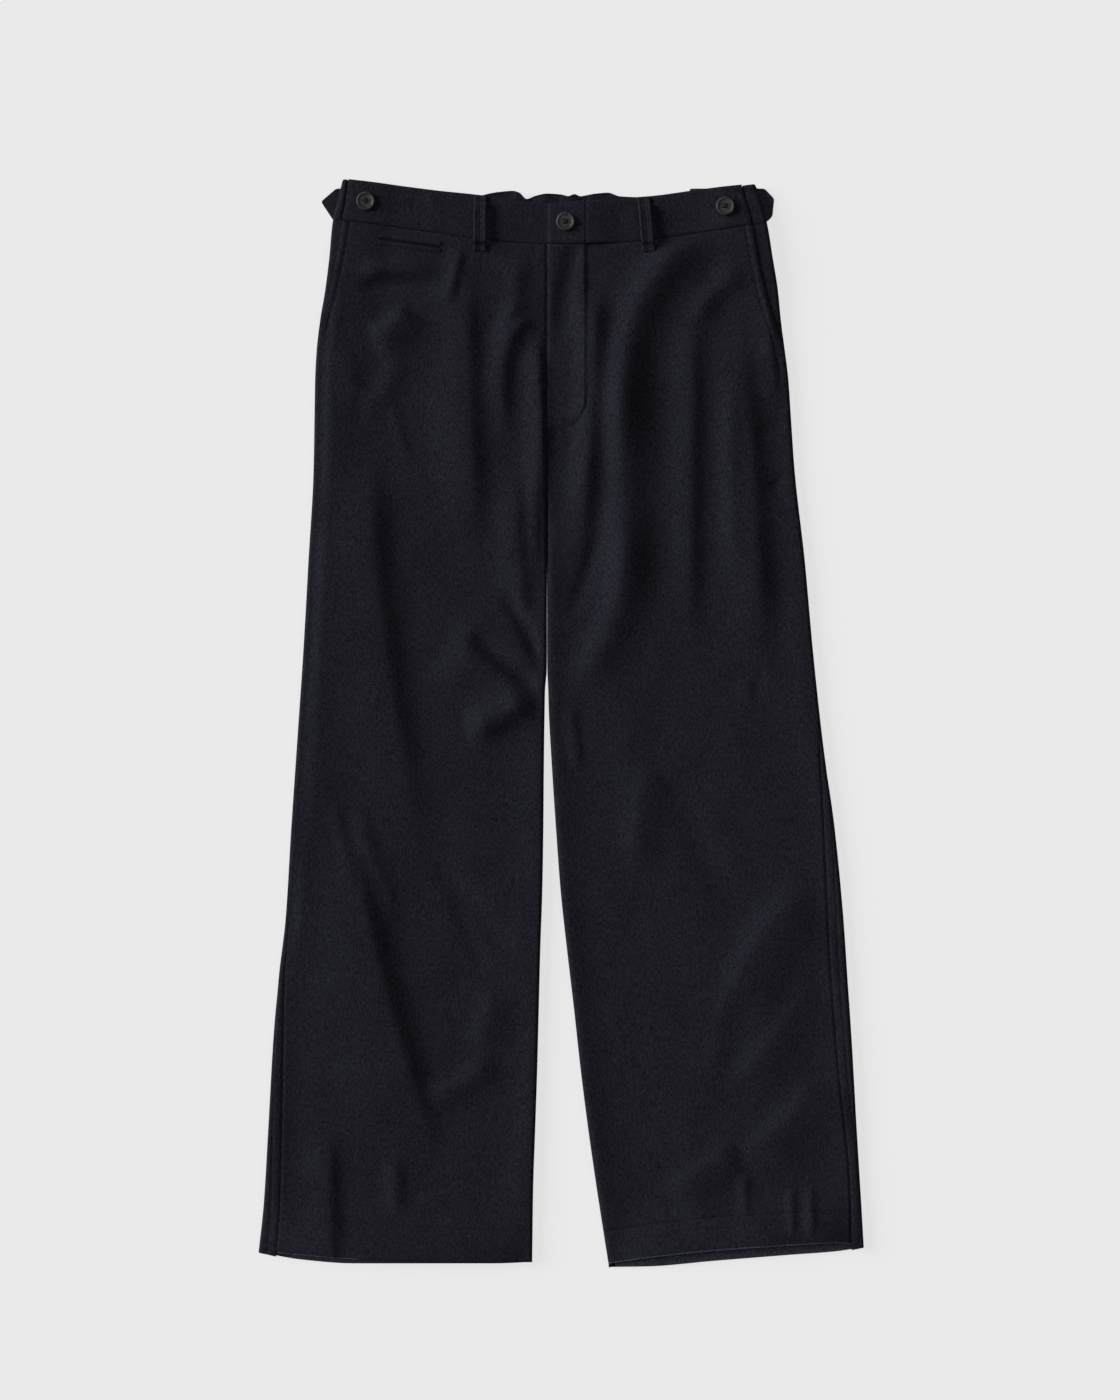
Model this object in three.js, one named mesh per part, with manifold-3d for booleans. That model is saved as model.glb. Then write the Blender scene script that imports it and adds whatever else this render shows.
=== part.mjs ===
// Wide-leg chino trousers in dark wool flannel, laid flat on their back with the front up.
// Sizes are in millimetres. +Y runs from the hems to the waist, +Z up from the surface they lie on.
// The origin is on that surface, in the middle of the outline. Right and left are the wearer's,
// so the right leg lies at -X. Each cut piece is a thin wall of its own, 0.3 mm from the next one.
import * as THREE from "three";
import { mergeVertices } from "three/addons/utils/BufferGeometryUtils.js";
import Module from "manifold-3d";

// Cloth and clearances.
const CLOTH = 1.5; // one layer of flannel
const GAP = 0.3; // between pieces at a seam
const ROLLED_GAP = 0.5; // the same on the outside of a rolled edge, where the insides come closer
const LAYER = CLOTH + GAP; // what one layer adds to a pile
const BAND = 2.4; // waistband: two layers and its interlining
const BAND_PROUD = 0.6; // how far the waistband stands out of the panels
const HEM_CLOTH = 1.3; // the pressed turn-up inside each hem
const ROLL = 3.8; // radius of the soft edge where front turns into back
const QUARTER = (Math.PI / 2) * ROLL; // length of cloth over a quarter of that roll

// How high the cloth lies.
const WAIST_LIFT = 3.2; // the waist rests on the back loops and the side tabs
const LIFT_FULL_Y = 452; // the lift is whole above this level
const LIFT_END_Y = 370; // and gone below this one
const HIP_LIE = 6.6; // top of the front over the hips, above the back's underside
const LEG_LIE = 5.4; // top of the front down the legs
const LEG_LIE_Y = 60; // the legs' height holds below this level
const HIP_LIE_Y = 330; // and the hips' height above this one
const LIE_FADE = 18; // how far in from an edge the cloth settles to that height
const WAIST_SETTLE = 90; // how far below the waistband it settles to that height
const HEM_ZONE = 62; // length over which the front lifts towards its hem

// Centre front, fly and crotch.
const CENTRE_X = -13.9;
const FLY_FOOT_Y = 290;
const CROTCH_Y = 160;
const SEAT_SEAM_Y = 230; // the back is flat across the centre seam above this level
const UNDERLAP_X = 20; // the right band runs on under the left one to here
const OVERLAP_RAISE = BAND + GAP;
const RAISE_FULL_X = 27; // the left band is raised up to here
const RAISE_END_X = 62; // and down again here

// How finely the walls are divided.
const PANEL_ROWS = 33;
const FRONT_COLUMNS = 16;
const BACK_COLUMNS = 8;
const EDGE_STEPS = [0, 2, 4, 6, 12]; // cloth lengths from an edge at which the front has its first points
const BACK_INNER_STEPS = [14, 6, 4, 2, 0];
const BACK_TURN = [1, 0.62, 0.42, 0.33, 0.24, 0.16, 0.08, 0]; // shares of the back's turn round the side
const BAND_TURN = [1, 0.8, 0.6, 0.4, 0.2, 0];

// Outer edges of the garment at each level.
const OUTLINE = [
  { y: 534, right: -213.5, left: 187.5 },
  { y: 513, right: -218.5, left: 195.5 },
  { y: 492, right: -224.0, left: 201.5 },
  { y: 456, right: -227.5, left: 207.5 },
  { y: 425, right: -231.5, left: 212.5 },
  { y: 396, right: -236.5, left: 215.5 },
  { y: 366, right: -240.0, left: 219.5 },
  { y: 337, right: -241.5, left: 223.0 },
  { y: 307, right: -242.0, left: 225.0 },
  { y: 249, right: -243.0, left: 229.0 },
  { y: 160, right: -248.0, left: 239.0 },
  { y: 72, right: -253.0, left: 247.0 },
  { y: -16, right: -259.0, left: 256.5 },
  { y: -104, right: -265.0, left: 268.5 },
  { y: -192, right: -270.5, left: 277.0 },
  { y: -251, right: -277.5, left: 281.0 },
  { y: -310, right: -282.5, left: 285.0 },
  { y: -398, right: -287.5, left: 290.0 },
  { y: -472, right: -292.0, left: 294.5 },
  { y: -519, right: -297.0, left: 297.2 },
];
// Inner edges of the two legs, which touch below the crotch and then part.
const INSIDE_LEG = [
  { y: 160, right: -14.2, left: -13.6 },
  { y: 72, right: -14.6, left: -13.0 },
  { y: 23, right: -16.0, left: -12.2 },
  { y: -45, right: -17.0, left: -9.0 },
  { y: -104, right: -17.5, left: -5.1 },
  { y: -163, right: -18.5, left: -0.7 },
  { y: -222, right: -20.5, left: 5.7 },
  { y: -280, right: -22.0, left: 12.5 },
  { y: -339, right: -23.5, left: 19.0 },
  { y: -398, right: -25.5, left: 26.5 },
  { y: -457, right: -27.5, left: 35.0 },
  { y: -531, right: -28.5, left: 46.5 },
];
// Where the waistband is sewn on, and its top edge, front and back.
const WAIST_SEAM = [
  { x: -225, y: 494.5 },
  { x: -205, y: 492.0 },
  { x: -172, y: 488.0 },
  { x: -118, y: 480.5 },
  { x: -88, y: 476.2 },
  { x: -60, y: 473.0 },
  { x: -14, y: 470.2 },
  { x: 24, y: 470.4 },
  { x: 74, y: 472.8 },
  { x: 92, y: 475.1 },
  { x: 136, y: 481.5 },
  { x: 186, y: 488.8 },
  { x: 202, y: 491.3 },
];
const BAND_TOP = [
  { x: -217, y: 534.2 },
  { x: -189, y: 531.0 },
  { x: -166, y: 528.0 },
  { x: -119, y: 522.0 },
  { x: -87, y: 518.7 },
  { x: -60, y: 515.3 },
  { x: -38, y: 512.3 },
  { x: -14, y: 510.0 },
  { x: 23, y: 512.5 },
  { x: 58, y: 514.8 },
  { x: 87, y: 516.8 },
  { x: 136, y: 523.3 },
  { x: 164, y: 526.6 },
  { x: 192, y: 529.3 },
];
// The gathered back band stands up behind the front one in uneven ruffles.
const BACK_BAND_TOP = [
  { x: -217, y: 533.9 },
  { x: -150, y: 524.5 },
  { x: -86, y: 517.0 },
  { x: -72, y: 520.0 },
  { x: -60, y: 522.0 },
  { x: -48, y: 523.0 },
  { x: -41, y: 521.0 },
  { x: -34, y: 515.0 },
  { x: -25, y: 518.2 },
  { x: -13, y: 520.2 },
  { x: -1, y: 519.6 },
  { x: 7, y: 517.7 },
  { x: 13, y: 519.7 },
  { x: 19, y: 517.7 },
  { x: 25, y: 518.7 },
  { x: 35, y: 520.3 },
  { x: 46, y: 521.2 },
  { x: 58, y: 517.4 },
  { x: 100, y: 516.5 },
  { x: 150, y: 523.5 },
  { x: 192, y: 528.9 },
];
const GATHERS = { from: -104, to: 96, waves: 8, rise: 1.5 };

// Hem edges and the stitched tops of their turn-ups, by leg.
const HEMS = {
  right: {
    front: [
      { x: -297, y: -517.6 },
      { x: -256, y: -520.1 },
      { x: -217, y: -523.0 },
      { x: -158, y: -526.0 },
      { x: -89, y: -527.9 },
      { x: -28, y: -527.9 },
    ],
    back: [
      { x: -297, y: -518.6 },
      { x: -256, y: -526.0 },
      { x: -203, y: -529.9 },
      { x: -66, y: -529.9 },
      { x: -28, y: -528.4 },
    ],
    stitch: [
      { x: -293, y: -485.9 },
      { x: -223, y: -488.8 },
      { x: -159, y: -492.7 },
      { x: -30, y: -498.0 },
    ],
    mouth: 15.0, // top of the front's hem where it stands highest
  },
  left: {
    front: [
      { x: 47, y: -529.4 },
      { x: 89, y: -522.5 },
      { x: 150, y: -515.7 },
      { x: 223, y: -510.8 },
      { x: 266, y: -508.8 },
      { x: 297, y: -512.7 },
    ],
    back: [
      { x: 47, y: -533.4 },
      { x: 84, y: -532.9 },
      { x: 150, y: -527.4 },
      { x: 223, y: -521.6 },
      { x: 271, y: -517.9 },
      { x: 297, y: -513.7 },
    ],
    stitch: [
      { x: 45, y: -498.0 },
      { x: 101, y: -489.2 },
      { x: 160, y: -483.3 },
      { x: 223, y: -479.4 },
      { x: 248, y: -477.9 },
      { x: 293, y: -480.4 },
    ],
    mouth: 15.6,
  },
};
const TURNUP_INSET = 7; // the turn-ups stop this far inside the leg's rolled edges

// Slant pockets: how far inside the outline the front's edge lies, and where the opening ends.
const POCKET_END_INSET = 0.2;
const POCKETS = {
  right: {
    endY: 378,
    edge: [
      { y: 540, inset: 4.6 },
      { y: 503, inset: 8.5 },
      { y: 488, inset: 9.6 },
      { y: 454, inset: 7.0 },
      { y: 423, inset: 4.4 },
      { y: 400, inset: 2.2 },
      { y: 378, inset: POCKET_END_INSET },
    ],
  },
  left: {
    endY: 329,
    edge: [
      { y: 540, inset: 11.5 },
      { y: 512, inset: 15.0 },
      { y: 489, inset: 15.3 },
      { y: 455, inset: 15.0 },
      { y: 421, inset: 12.6 },
      { y: 384, inset: 5.0 },
      { y: 354, inset: 1.6 },
      { y: 329, inset: POCKET_END_INSET },
    ],
  },
};
const BEARER_UNDERLAP = 18; // how far the pocket's inner piece runs on under the front
const POCKET_FULL_INSET = 6; // where the opening is this far in, the front lies a whole layer higher
const POCKET_FADE_FROM = 34; // and it is level again between these two insets
const POCKET_FADE_TO = 62;

// The outseams roll onto the front down the lower legs: cloth length from the outline's edge, over the top.
const OUTSEAMS = {
  right: [
    { y: -60, over: 0 },
    { y: -150, over: 3.0 },
    { y: -233, over: 7.2 },
    { y: -319, over: 12.7 },
    { y: -417, over: 16.2 },
    { y: -519, over: 20.2 },
  ],
  left: [
    { y: 60, over: 0 },
    { y: -35, over: 7.6 },
    { y: -124, over: 14.7 },
    { y: -233, over: 18.7 },
    { y: -323, over: 17.7 },
    { y: -440, over: 12.7 },
    { y: -519, over: 15.2 },
  ],
};

// The largest folds. Each runs from head through bend to foot, and stands up by rise, or sinks if negative.
// wideRight and wideLeft are its reach towards +X and -X, so a small one gives the steep side.
const FOLDS = [
  { head: [-190, 330], bend: [-178, 121], foot: [-142, -130], wideLeft: 52, wideRight: 13, rise: 4.2 },
  { head: [-112, 452], bend: [-108, 366], foot: [-93, 230], wideLeft: 36, wideRight: 14, rise: 3.6 },
  { head: [-44, 450], bend: [-53, 330], foot: [-50, 250], wideLeft: 14, wideRight: 10, rise: 2.6 },
  { head: [-36, 400], bend: [-36, 240], foot: [-42, 90], wideLeft: 22, wideRight: 16, rise: 3.6 },
  { head: [-110, 62], bend: [-70, 26], foot: [-24, -16], wideLeft: 18, wideRight: 14, rise: 4.2 },
  { head: [-214, -104], bend: [-176, -268], foot: [-124, -424], wideLeft: 44, wideRight: 9, rise: 4.6 },
  { head: [-204, -60], bend: [-180, -150], foot: [-150, -240], wideLeft: 9, wideRight: 9, rise: 1.6 },
  { head: [22, 360], bend: [15, 262], foot: [10, 90], wideLeft: 17, wideRight: 11, rise: 3.6 },
  { head: [120, 462], bend: [61, 352], foot: [61, 190], wideLeft: 15, wideRight: 17, rise: 6.2 },
  { head: [62, 262], bend: [58, 120], foot: [30, 0], wideLeft: 18, wideRight: 24, rise: 5.0 },
  { head: [166, 446], bend: [124, 386], foot: [121, 170], wideLeft: 18, wideRight: 13, rise: 3.2 },
  { head: [160, 400], bend: [177, 259], foot: [194, 40], wideLeft: 30, wideRight: 12, rise: 4.2 },
  { head: [97, -50], bend: [66, -96], foot: [64, -180], wideLeft: 13, wideRight: 22, rise: 3.0 },
  { head: [252, -172], bend: [186, -226], foot: [160, -330], wideLeft: 11, wideRight: 24, rise: 4.0 },
  { head: [252, -252], bend: [204, -316], foot: [158, -372], wideLeft: 10, wideRight: 20, rise: 3.0 },
  { head: [254, -346], bend: [222, -392], foot: [174, -428], wideLeft: 10, wideRight: 18, rise: 3.0 },
  { head: [-226, -400], bend: [-224, -460], foot: [-222, -530], wideLeft: 20, wideRight: 7, rise: 2.0 },
];
const FOLD_STEPS = 14; // straight lengths that stand for a fold's curve
const FOLD_TAPER = 0.3; // share of a fold's length over which each end dies out
const FOLD_EDGE_FADE = 16; // folds die out this near to an edge
const FOLD_WAIST_FADE = 30; // and between these distances from the waistband
const FOLD_WAIST_END = 4;

// Small sewn-on pieces.
const LOOP = { width: 13.4, thick: 1.6, foot: 1.8, slot: 4.6, footLength: 4.5, riseLength: 6 };
const FRONT_LOOPS = [
  { name: "belt_loop_front_right", top: [-79.0, 517.0], bottom: [-79.6, 462.8] },
  { name: "belt_loop_front_left", top: [80.8, 515.2], bottom: [85.8, 462.4] },
];
const BACK_LOOPS = [
  { name: "belt_loop_back_right", x: -120 },
  { name: "belt_loop_back_centre", x: 13 },
  { name: "belt_loop_back_left", x: 112 },
];
const BACK_LOOP = { thick: 2.2, low: 463, high: 515 };
const TAB = { thick: 2.2, corner: 2.5 };
const TABS = {
  right: [
    [-150, 525.5],
    [-221, 525.5],
    [-235.9, 512.6],
    [-223.5, 493.8],
    [-150, 493.8],
  ],
  left: [
    [126, 525.5],
    [199.6, 525.5],
    [209.2, 515.4],
    [207.4, 498.0],
    [201.8, 492.6],
    [126, 492.6],
  ],
};
const BUTTON = { radius: 9.1, thick: 3.1, rim: 1.7, dish: 0.7, hole: 1.0, spread: 1.75, sides: 20 };
const BUTTONS = [
  { name: "button_waist", x: 4.2, y: 491.3 },
  { name: "button_side_right", x: -191.3, y: 511.4 },
  { name: "button_side_left", x: 160.5, y: 506.5 },
];
const COIN_POCKET = {
  slitFrom: [-178.6, 475.0],
  slitTo: [-117.8, 466.7],
  lip: 5.2, // height of each jet
  slit: 0.8,
  thick: 1.0,
};
const FLY = { right: CENTRE_X + GAP / 2, left: 24.3, corner: 32, thick: 1.4, gap: 0.6 };

const FLANNEL = new THREE.MeshStandardMaterial({ color: "#1b1c22", roughness: 0.95, metalness: 0 });
const HORN = new THREE.MeshStandardMaterial({ color: "#2b2725", roughness: 0.35, metalness: 0 });

const lerp = THREE.MathUtils.lerp;
const clamp = THREE.MathUtils.clamp;
const smoothstep = THREE.MathUtils.smoothstep;
const SEAM = GAP / 2 + 0.1; // how far each piece stops short of the waistband's seam

// A smooth curve through a table's rows, from one named column to another, with no overshoot.
function through(rows, from, to) {
  const at = rows.map((row) => row[from]);
  const value = rows.map((row) => row[to]);
  if (at[0] > at[at.length - 1]) {
    at.reverse();
    value.reverse();
  }
  const steps = at.slice(1).map((a, k) => a - at[k]);
  const slopes = steps.map((step, k) => (value[k + 1] - value[k]) / step);
  const tangents = value.map((_, k) => {
    if (k === 0) return slopes[0];
    if (k === slopes.length) return slopes[k - 1];
    if (slopes[k - 1] * slopes[k] <= 0) return 0;
    const [w1, w2] = [2 * steps[k] + steps[k - 1], steps[k] + 2 * steps[k - 1]];
    return (w1 + w2) / (w1 / slopes[k - 1] + w2 / slopes[k]);
  });
  return (where) => {
    const p = clamp(where, at[0], at[at.length - 1]);
    let k = 0;
    while (k < steps.length - 1 && p > at[k + 1]) k += 1;
    const t = (p - at[k]) / steps[k];
    const [t2, t3] = [t * t, t * t * t];
    return (
      (2 * t3 - 3 * t2 + 1) * value[k] +
      (t3 - 2 * t2 + t) * steps[k] * tangents[k] +
      (3 * t2 - 2 * t3) * value[k + 1] +
      (t3 - t2) * steps[k] * tangents[k + 1]
    );
  };
}

const waistSeam = through(WAIST_SEAM, "x", "y");
const bandTop = through(BAND_TOP, "x", "y");
const backBandTop = through(BACK_BAND_TOP, "x", "y");

// The wearer's right and left, with the direction that points out of the garment there.
const SIDES = Object.fromEntries(
  ["right", "left"].map((name) => [
    name,
    {
      name,
      out: name === "right" ? -1 : 1,
      outer: through(OUTLINE, "y", name),
      inner: through(INSIDE_LEG, "y", name),
      pocketInset: through(POCKETS[name].edge, "y", "inset"),
      pocketEnd: POCKETS[name].endY,
      outseamOver: through(OUTSEAMS[name], "y", "over"),
      hemFront: through(HEMS[name].front, "x", "y"),
      hemBack: through(HEMS[name].back, "x", "y"),
      hemStitch: through(HEMS[name].stitch, "x", "y"),
      mouth: HEMS[name].mouth,
    },
  ]),
);

// How heights change over the garment.
const lift = (y) => WAIST_LIFT * smoothstep(y, LIFT_END_Y, LIFT_FULL_Y);
const splitShare = (y) => 1 - smoothstep(y, CROTCH_Y, FLY_FOOT_Y); // 0 at the fly, 1 from the crotch down
const fadeFrom = (inset) => Math.exp(-((Math.max(inset - ROLL, 0) / LIE_FADE) ** 2));

// A fold's curve as short straight lengths.
function foldPath({ head, bend, foot }) {
  const middle = bend.map((value, k) => 2 * value - (head[k] + foot[k]) / 2);
  return Array.from({ length: FOLD_STEPS + 1 }, (_, k) => {
    const t = k / FOLD_STEPS;
    return [0, 1].map(
      (axis) => (1 - t) ** 2 * head[axis] + 2 * t * (1 - t) * middle[axis] + t * t * foot[axis],
    );
  });
}
const FOLD_PATHS = FOLDS.map((fold) => ({ ...fold, path: foldPath(fold) }));

// How much one fold raises the cloth at a place.
function foldRise({ path, wideLeft, wideRight, rise }, x, y) {
  let nearest = { gap: Infinity, along: 0, side: 1 };
  for (let k = 0; k < FOLD_STEPS; k += 1) {
    const [ax, ay] = path[k];
    const [bx, by] = [path[k + 1][0] - ax, path[k + 1][1] - ay];
    const t = clamp(((x - ax) * bx + (y - ay) * by) / (bx * bx + by * by), 0, 1);
    const [dx, dy] = [x - ax - t * bx, y - ay - t * by];
    const gap = Math.hypot(dx, dy);
    if (gap < nearest.gap) nearest = { gap, along: (k + t) / FOLD_STEPS, side: dx };
  }
  const reach = nearest.side > 0 ? wideRight : wideLeft;
  const ends = smoothstep(Math.min(nearest.along, 1 - nearest.along), 0, FOLD_TAPER);
  return rise * ends * Math.exp(-((nearest.gap / reach) ** 2));
}

// Height of the front's outer face, before any extra layer, with the edge rolls, the lie and the folds.
function frontHeight(side, x, y) {
  const outerInset = Math.abs(side.outer(y) - x);
  const split = splitShare(y);
  const innerInset = y < FLY_FOOT_Y ? Math.abs(side.inner(y) - x) : Infinity;
  const rolled = Math.max(fadeFrom(outerInset), split * fadeFrom(innerInset));
  const waistGap = waistSeam(x) - y;
  const hemGap = y - side.hemFront(x);
  const legLie = lerp(LEG_LIE, HIP_LIE, smoothstep(y, LEG_LIE_Y, HIP_LIE_Y));
  const body = lerp(2 * ROLL, legLie, smoothstep(waistGap, 0, WAIST_SETTLE));
  const width = Math.abs(side.outer(y) - side.inner(y));
  const bow = Math.sin(Math.PI * clamp(outerInset / width, 0, 1)) ** 0.7;
  const hemLie = lerp(2 * ROLL, side.mouth, bow);
  const lie = lerp(body, hemLie, 1 - smoothstep(hemGap, 0, HEM_ZONE));
  const edgeFade =
    smoothstep(outerInset, ROLL, FOLD_EDGE_FADE) *
    (split > 0 ? lerp(1, smoothstep(innerInset, ROLL, FOLD_EDGE_FADE), split) : 1);
  const waistFade = smoothstep(waistGap, FOLD_WAIST_END, FOLD_WAIST_FADE);
  const folds = FOLD_PATHS.reduce((sum, fold) => sum + foldRise(fold, x, y), 0);
  return lift(y) + lerp(lie, 2 * ROLL, rolled) + folds * edgeFade * waistFade;
}

// Beside the pocket opening the front lies on the pocket's inner piece. Towards the opening's end
// that piece sinks instead, so the side keeps its outline.
const pocketShare = (side, y) =>
  y > side.pocketEnd ? smoothstep(side.pocketInset(y), POCKET_END_INSET, POCKET_FULL_INSET) : 0;
function pocketLayer(side, x, y) {
  const inset = Math.abs(side.outer(y) - x);
  return LAYER * pocketShare(side, y) * (1 - smoothstep(inset, POCKET_FADE_FROM, POCKET_FADE_TO));
}

// A point of an outer face, with the direction out of the cloth where the edge alone would not give it.
const spot = (x, y, z, normal = null) => Object.assign(new THREE.Vector3(x, y, z), { normal });

// Cloth length from the outline's outermost point, over the top, to a place that is `inset` inside it.
const aroundTo = (inset) => (inset < ROLL ? ROLL * Math.acos(1 - inset / ROLL) : QUARTER + inset - ROLL);
const insetOf = (around) =>
  Math.abs(around) < QUARTER ? ROLL * (1 - Math.cos(around / ROLL)) : ROLL + Math.abs(around) - QUARTER;

// A point of the outer face at the garment's side: `around` is positive over the top, negative underneath.
function sidePoint(side, around, yAt, proud = () => 0) {
  let y = yAt(side.outer(0));
  let x = 0;
  for (let pass = 0; pass < 5; pass += 1) {
    x = side.outer(y) - side.out * insetOf(around);
    y = yAt(x);
  }
  const extra = proud(x, y);
  const up = around < QUARTER + ROLL ? new THREE.Vector3(0, 0, 1) : null;
  if (around >= QUARTER) return spot(x, y, frontHeight(side, x, y) + extra, up);
  if (around <= -QUARTER) return spot(x, y, lift(y) - extra);
  const angle = around / ROLL;
  const radius = ROLL + extra;
  return spot(
    side.outer(y) - side.out * (ROLL - radius * Math.cos(angle)),
    y,
    lift(y) + ROLL + radius * Math.sin(angle),
    new THREE.Vector3(side.out * Math.cos(angle), 0, Math.sin(angle)),
  );
}

// A point of the outer face near the inner leg or the centre seam, of the front where `over` is 1
// and of the back where it is -1.
function innerPoint(side, around, yAt, over) {
  let y = yAt(CENTRE_X);
  let x = 0;
  for (let pass = 0; pass < 5; pass += 1) {
    const edge = y > CROTCH_Y ? CENTRE_X + (side.out * GAP) / 2 : side.inner(y);
    x = edge + side.out * insetOf(around);
    y = yAt(x);
  }
  const dropFull = over > 0 ? splitShare(y) : 1 - smoothstep(y, CROTCH_Y, SEAT_SEAM_Y);
  const angle = clamp(around / ROLL, 0, Math.PI / 2);
  const drop = dropFull * (ROLL * (1 - Math.sin(angle)) - (GAP / 2) * Math.cos(angle));
  const face = over > 0 ? frontHeight(side, x, y) : lift(y);
  const rolled = dropFull > 0.02 && angle < 1.5;
  const normal = new THREE.Vector3(-side.out * dropFull * Math.cos(angle), 0, over * Math.sin(angle));
  return spot(x, y, face - over * drop, rolled ? normal.normalize() : null);
}

// A closed body between an outer and an inner grid of points, facing out.
function bodyBetween(outer, inner) {
  const rows = outer.length;
  const columns = outer[0].length;
  const positions = [...outer, ...inner].flat().flatMap((p) => [p.x, p.y, p.z]);
  const at = (face, i, j) => face * rows * columns + i * columns + j;
  const index = [];
  const quad = (a, b, c, d) => index.push(a, b, c, a, c, d);
  for (let i = 0; i < rows - 1; i += 1) {
    for (let j = 0; j < columns - 1; j += 1) {
      quad(at(0, i, j), at(0, i + 1, j), at(0, i + 1, j + 1), at(0, i, j + 1));
      quad(at(1, i, j), at(1, i, j + 1), at(1, i + 1, j + 1), at(1, i + 1, j));
    }
    quad(at(0, i, 0), at(1, i, 0), at(1, i + 1, 0), at(0, i + 1, 0));
    const last = columns - 1;
    quad(at(0, i, last), at(0, i + 1, last), at(1, i + 1, last), at(1, i, last));
  }
  for (let j = 0; j < columns - 1; j += 1) {
    quad(at(0, 0, j), at(0, 0, j + 1), at(1, 0, j + 1), at(1, 0, j));
    const last = rows - 1;
    quad(at(0, last, j), at(1, last, j), at(1, last, j + 1), at(0, last, j + 1));
  }
  const geometry = new THREE.BufferGeometry();
  geometry.setAttribute("position", new THREE.Float32BufferAttribute(positions, 3));
  geometry.setIndex(volumeOf(positions, index) < 0 ? index.reverse() : index);
  return geometry;
}

function volumeOf(positions, index) {
  const [a, b, c] = [new THREE.Vector3(), new THREE.Vector3(), new THREE.Vector3()];
  let volume = 0;
  for (let k = 0; k < index.length; k += 3) {
    a.fromArray(positions, 3 * index[k]);
    b.fromArray(positions, 3 * index[k + 1]);
    c.fromArray(positions, 3 * index[k + 2]);
    volume += a.dot(b.cross(c)) / 6;
  }
  return volume;
}

// A wall of cloth inside a grid of outer points. `facing` is 1 where rows by columns turn outwards.
function wall(outer, thickness, facing) {
  const last = [outer.length - 1, outer[0].length - 1];
  const inner = outer.map((row, i) =>
    row.map((point, j) => {
      const down = outer[Math.min(i + 1, last[0])][j].clone().sub(outer[Math.max(i - 1, 0)][j]);
      const across = row[Math.min(j + 1, last[1])].clone().sub(row[Math.max(j - 1, 0)]);
      const normal = point.normal ?? down.cross(across).normalize().multiplyScalar(facing);
      return point.clone().addScaledVector(normal, -thickness);
    }),
  );
  return bodyBetween(outer, inner);
}

// A flat-lying piece between two heights over a plan grid of [x, y].
function slab(plan, low, high) {
  const raise = (height) => plan.map((row) => row.map(([x, y]) => new THREE.Vector3(x, y, height(x, y))));
  return bodyBetween(raise(high), raise(low));
}

const evenly = (count) => Array.from({ length: count + 1 }, (_, k) => k / count);
const PANEL_STEPS = evenly(PANEL_ROWS).map((t) => lerp(t, 0.5 - 0.5 * Math.cos(Math.PI * t), 0.3));

const trousers = new THREE.Group();
function add(name, geometry, material = FLANNEL) {
  const mesh = new THREE.Mesh(geometry, material);
  mesh.name = name;
  trousers.add(mesh);
  return mesh;
}

// Where the front panel's outer edge lies: the pocket's slant, then the side, then the rolled outseam.
function frontEdgeAround(side, y) {
  if (y > side.pocketEnd) return aroundTo(side.pocketInset(y)) + GAP / 2;
  return Math.max(side.outseamOver(y), ROLLED_GAP / 2);
}

// Front panel: from the waistband to the hem, and from the side to the centre or the inner leg.
function frontPanel(side) {
  const across = evenly(FRONT_COLUMNS).slice(1, -1);
  const grid = PANEL_STEPS.map((v) => {
    const yAt = (x) => lerp(waistSeam(x) - SEAM, side.hemFront(x), v);
    const proud = (x, y) => pocketLayer(side, x, y);
    const outerRun = EDGE_STEPS.map((step) => {
      const y = yAt(side.outer(yAt(side.outer(0))));
      return sidePoint(side, frontEdgeAround(side, y) + step, yAt, proud);
    });
    const innerRun = EDGE_STEPS.toReversed().map((step) => innerPoint(side, step, yAt, 1));
    const [from, to] = [outerRun[outerRun.length - 1].x, innerRun[0].x];
    const middle = across.map((f) => {
      const x = lerp(from, to, f);
      const y = yAt(x);
      return spot(x, y, frontHeight(side, x, y) + proud(x, y));
    });
    return [...outerRun, ...middle, ...innerRun];
  });
  add(`front_${side.name}`, wall(grid, CLOTH, side.name === "right" ? 1 : -1));
}

// Back panel: flat underneath, round the side and onto the front as far as the outseam.
function backPanel(side) {
  const across = evenly(BACK_COLUMNS).slice(1, -1);
  const grid = PANEL_STEPS.map((v) => {
    const yAt = (x) => lerp(waistSeam(x) - SEAM, side.hemBack(x), v);
    const y = yAt(side.outer(yAt(side.outer(0))));
    const start = y > side.pocketEnd ? -ROLLED_GAP / 2 : frontEdgeAround(side, y) - ROLLED_GAP;
    const around = BACK_TURN.map((f) => lerp(-QUARTER - 1, start, f));
    const outerRun = around.map((a) => sidePoint(side, a, yAt));
    const innerRun = BACK_INNER_STEPS.map((step) => innerPoint(side, step, yAt, -1));
    const [from, to] = [outerRun[outerRun.length - 1].x, innerRun[0].x];
    const middle = across.map((f) => {
      const x = lerp(from, to, f);
      const yy = yAt(x);
      return spot(x, yy, lift(yy));
    });
    return [...outerRun, ...middle, ...innerRun];
  });
  add(`back_${side.name}`, wall(grid, CLOTH, side.name === "right" ? -1 : 1));
}

// The pocket's inner piece, which shows beside the slanted opening and runs on under the front.
function pocketBearer(side) {
  const rows = evenly(9);
  const steps = [0, 0.07, 0.14, 0.22, 0.32, 0.6, 1];
  const sunk = (x, y) => -LAYER * (1 - pocketShare(side, y));
  const grid = rows.map((v) => {
    const yAt = (x) => lerp(waistSeam(x) - SEAM, side.pocketEnd + 1, v);
    const y = yAt(side.outer(yAt(side.outer(0))));
    const end = aroundTo(side.pocketInset(y)) + BEARER_UNDERLAP;
    return steps.map((f) => sidePoint(side, lerp(ROLLED_GAP, end, f), yAt, sunk));
  });
  add(`pocket_bearer_${side.name}`, wall(grid, CLOTH, side.name === "right" ? 1 : -1));
}

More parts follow.
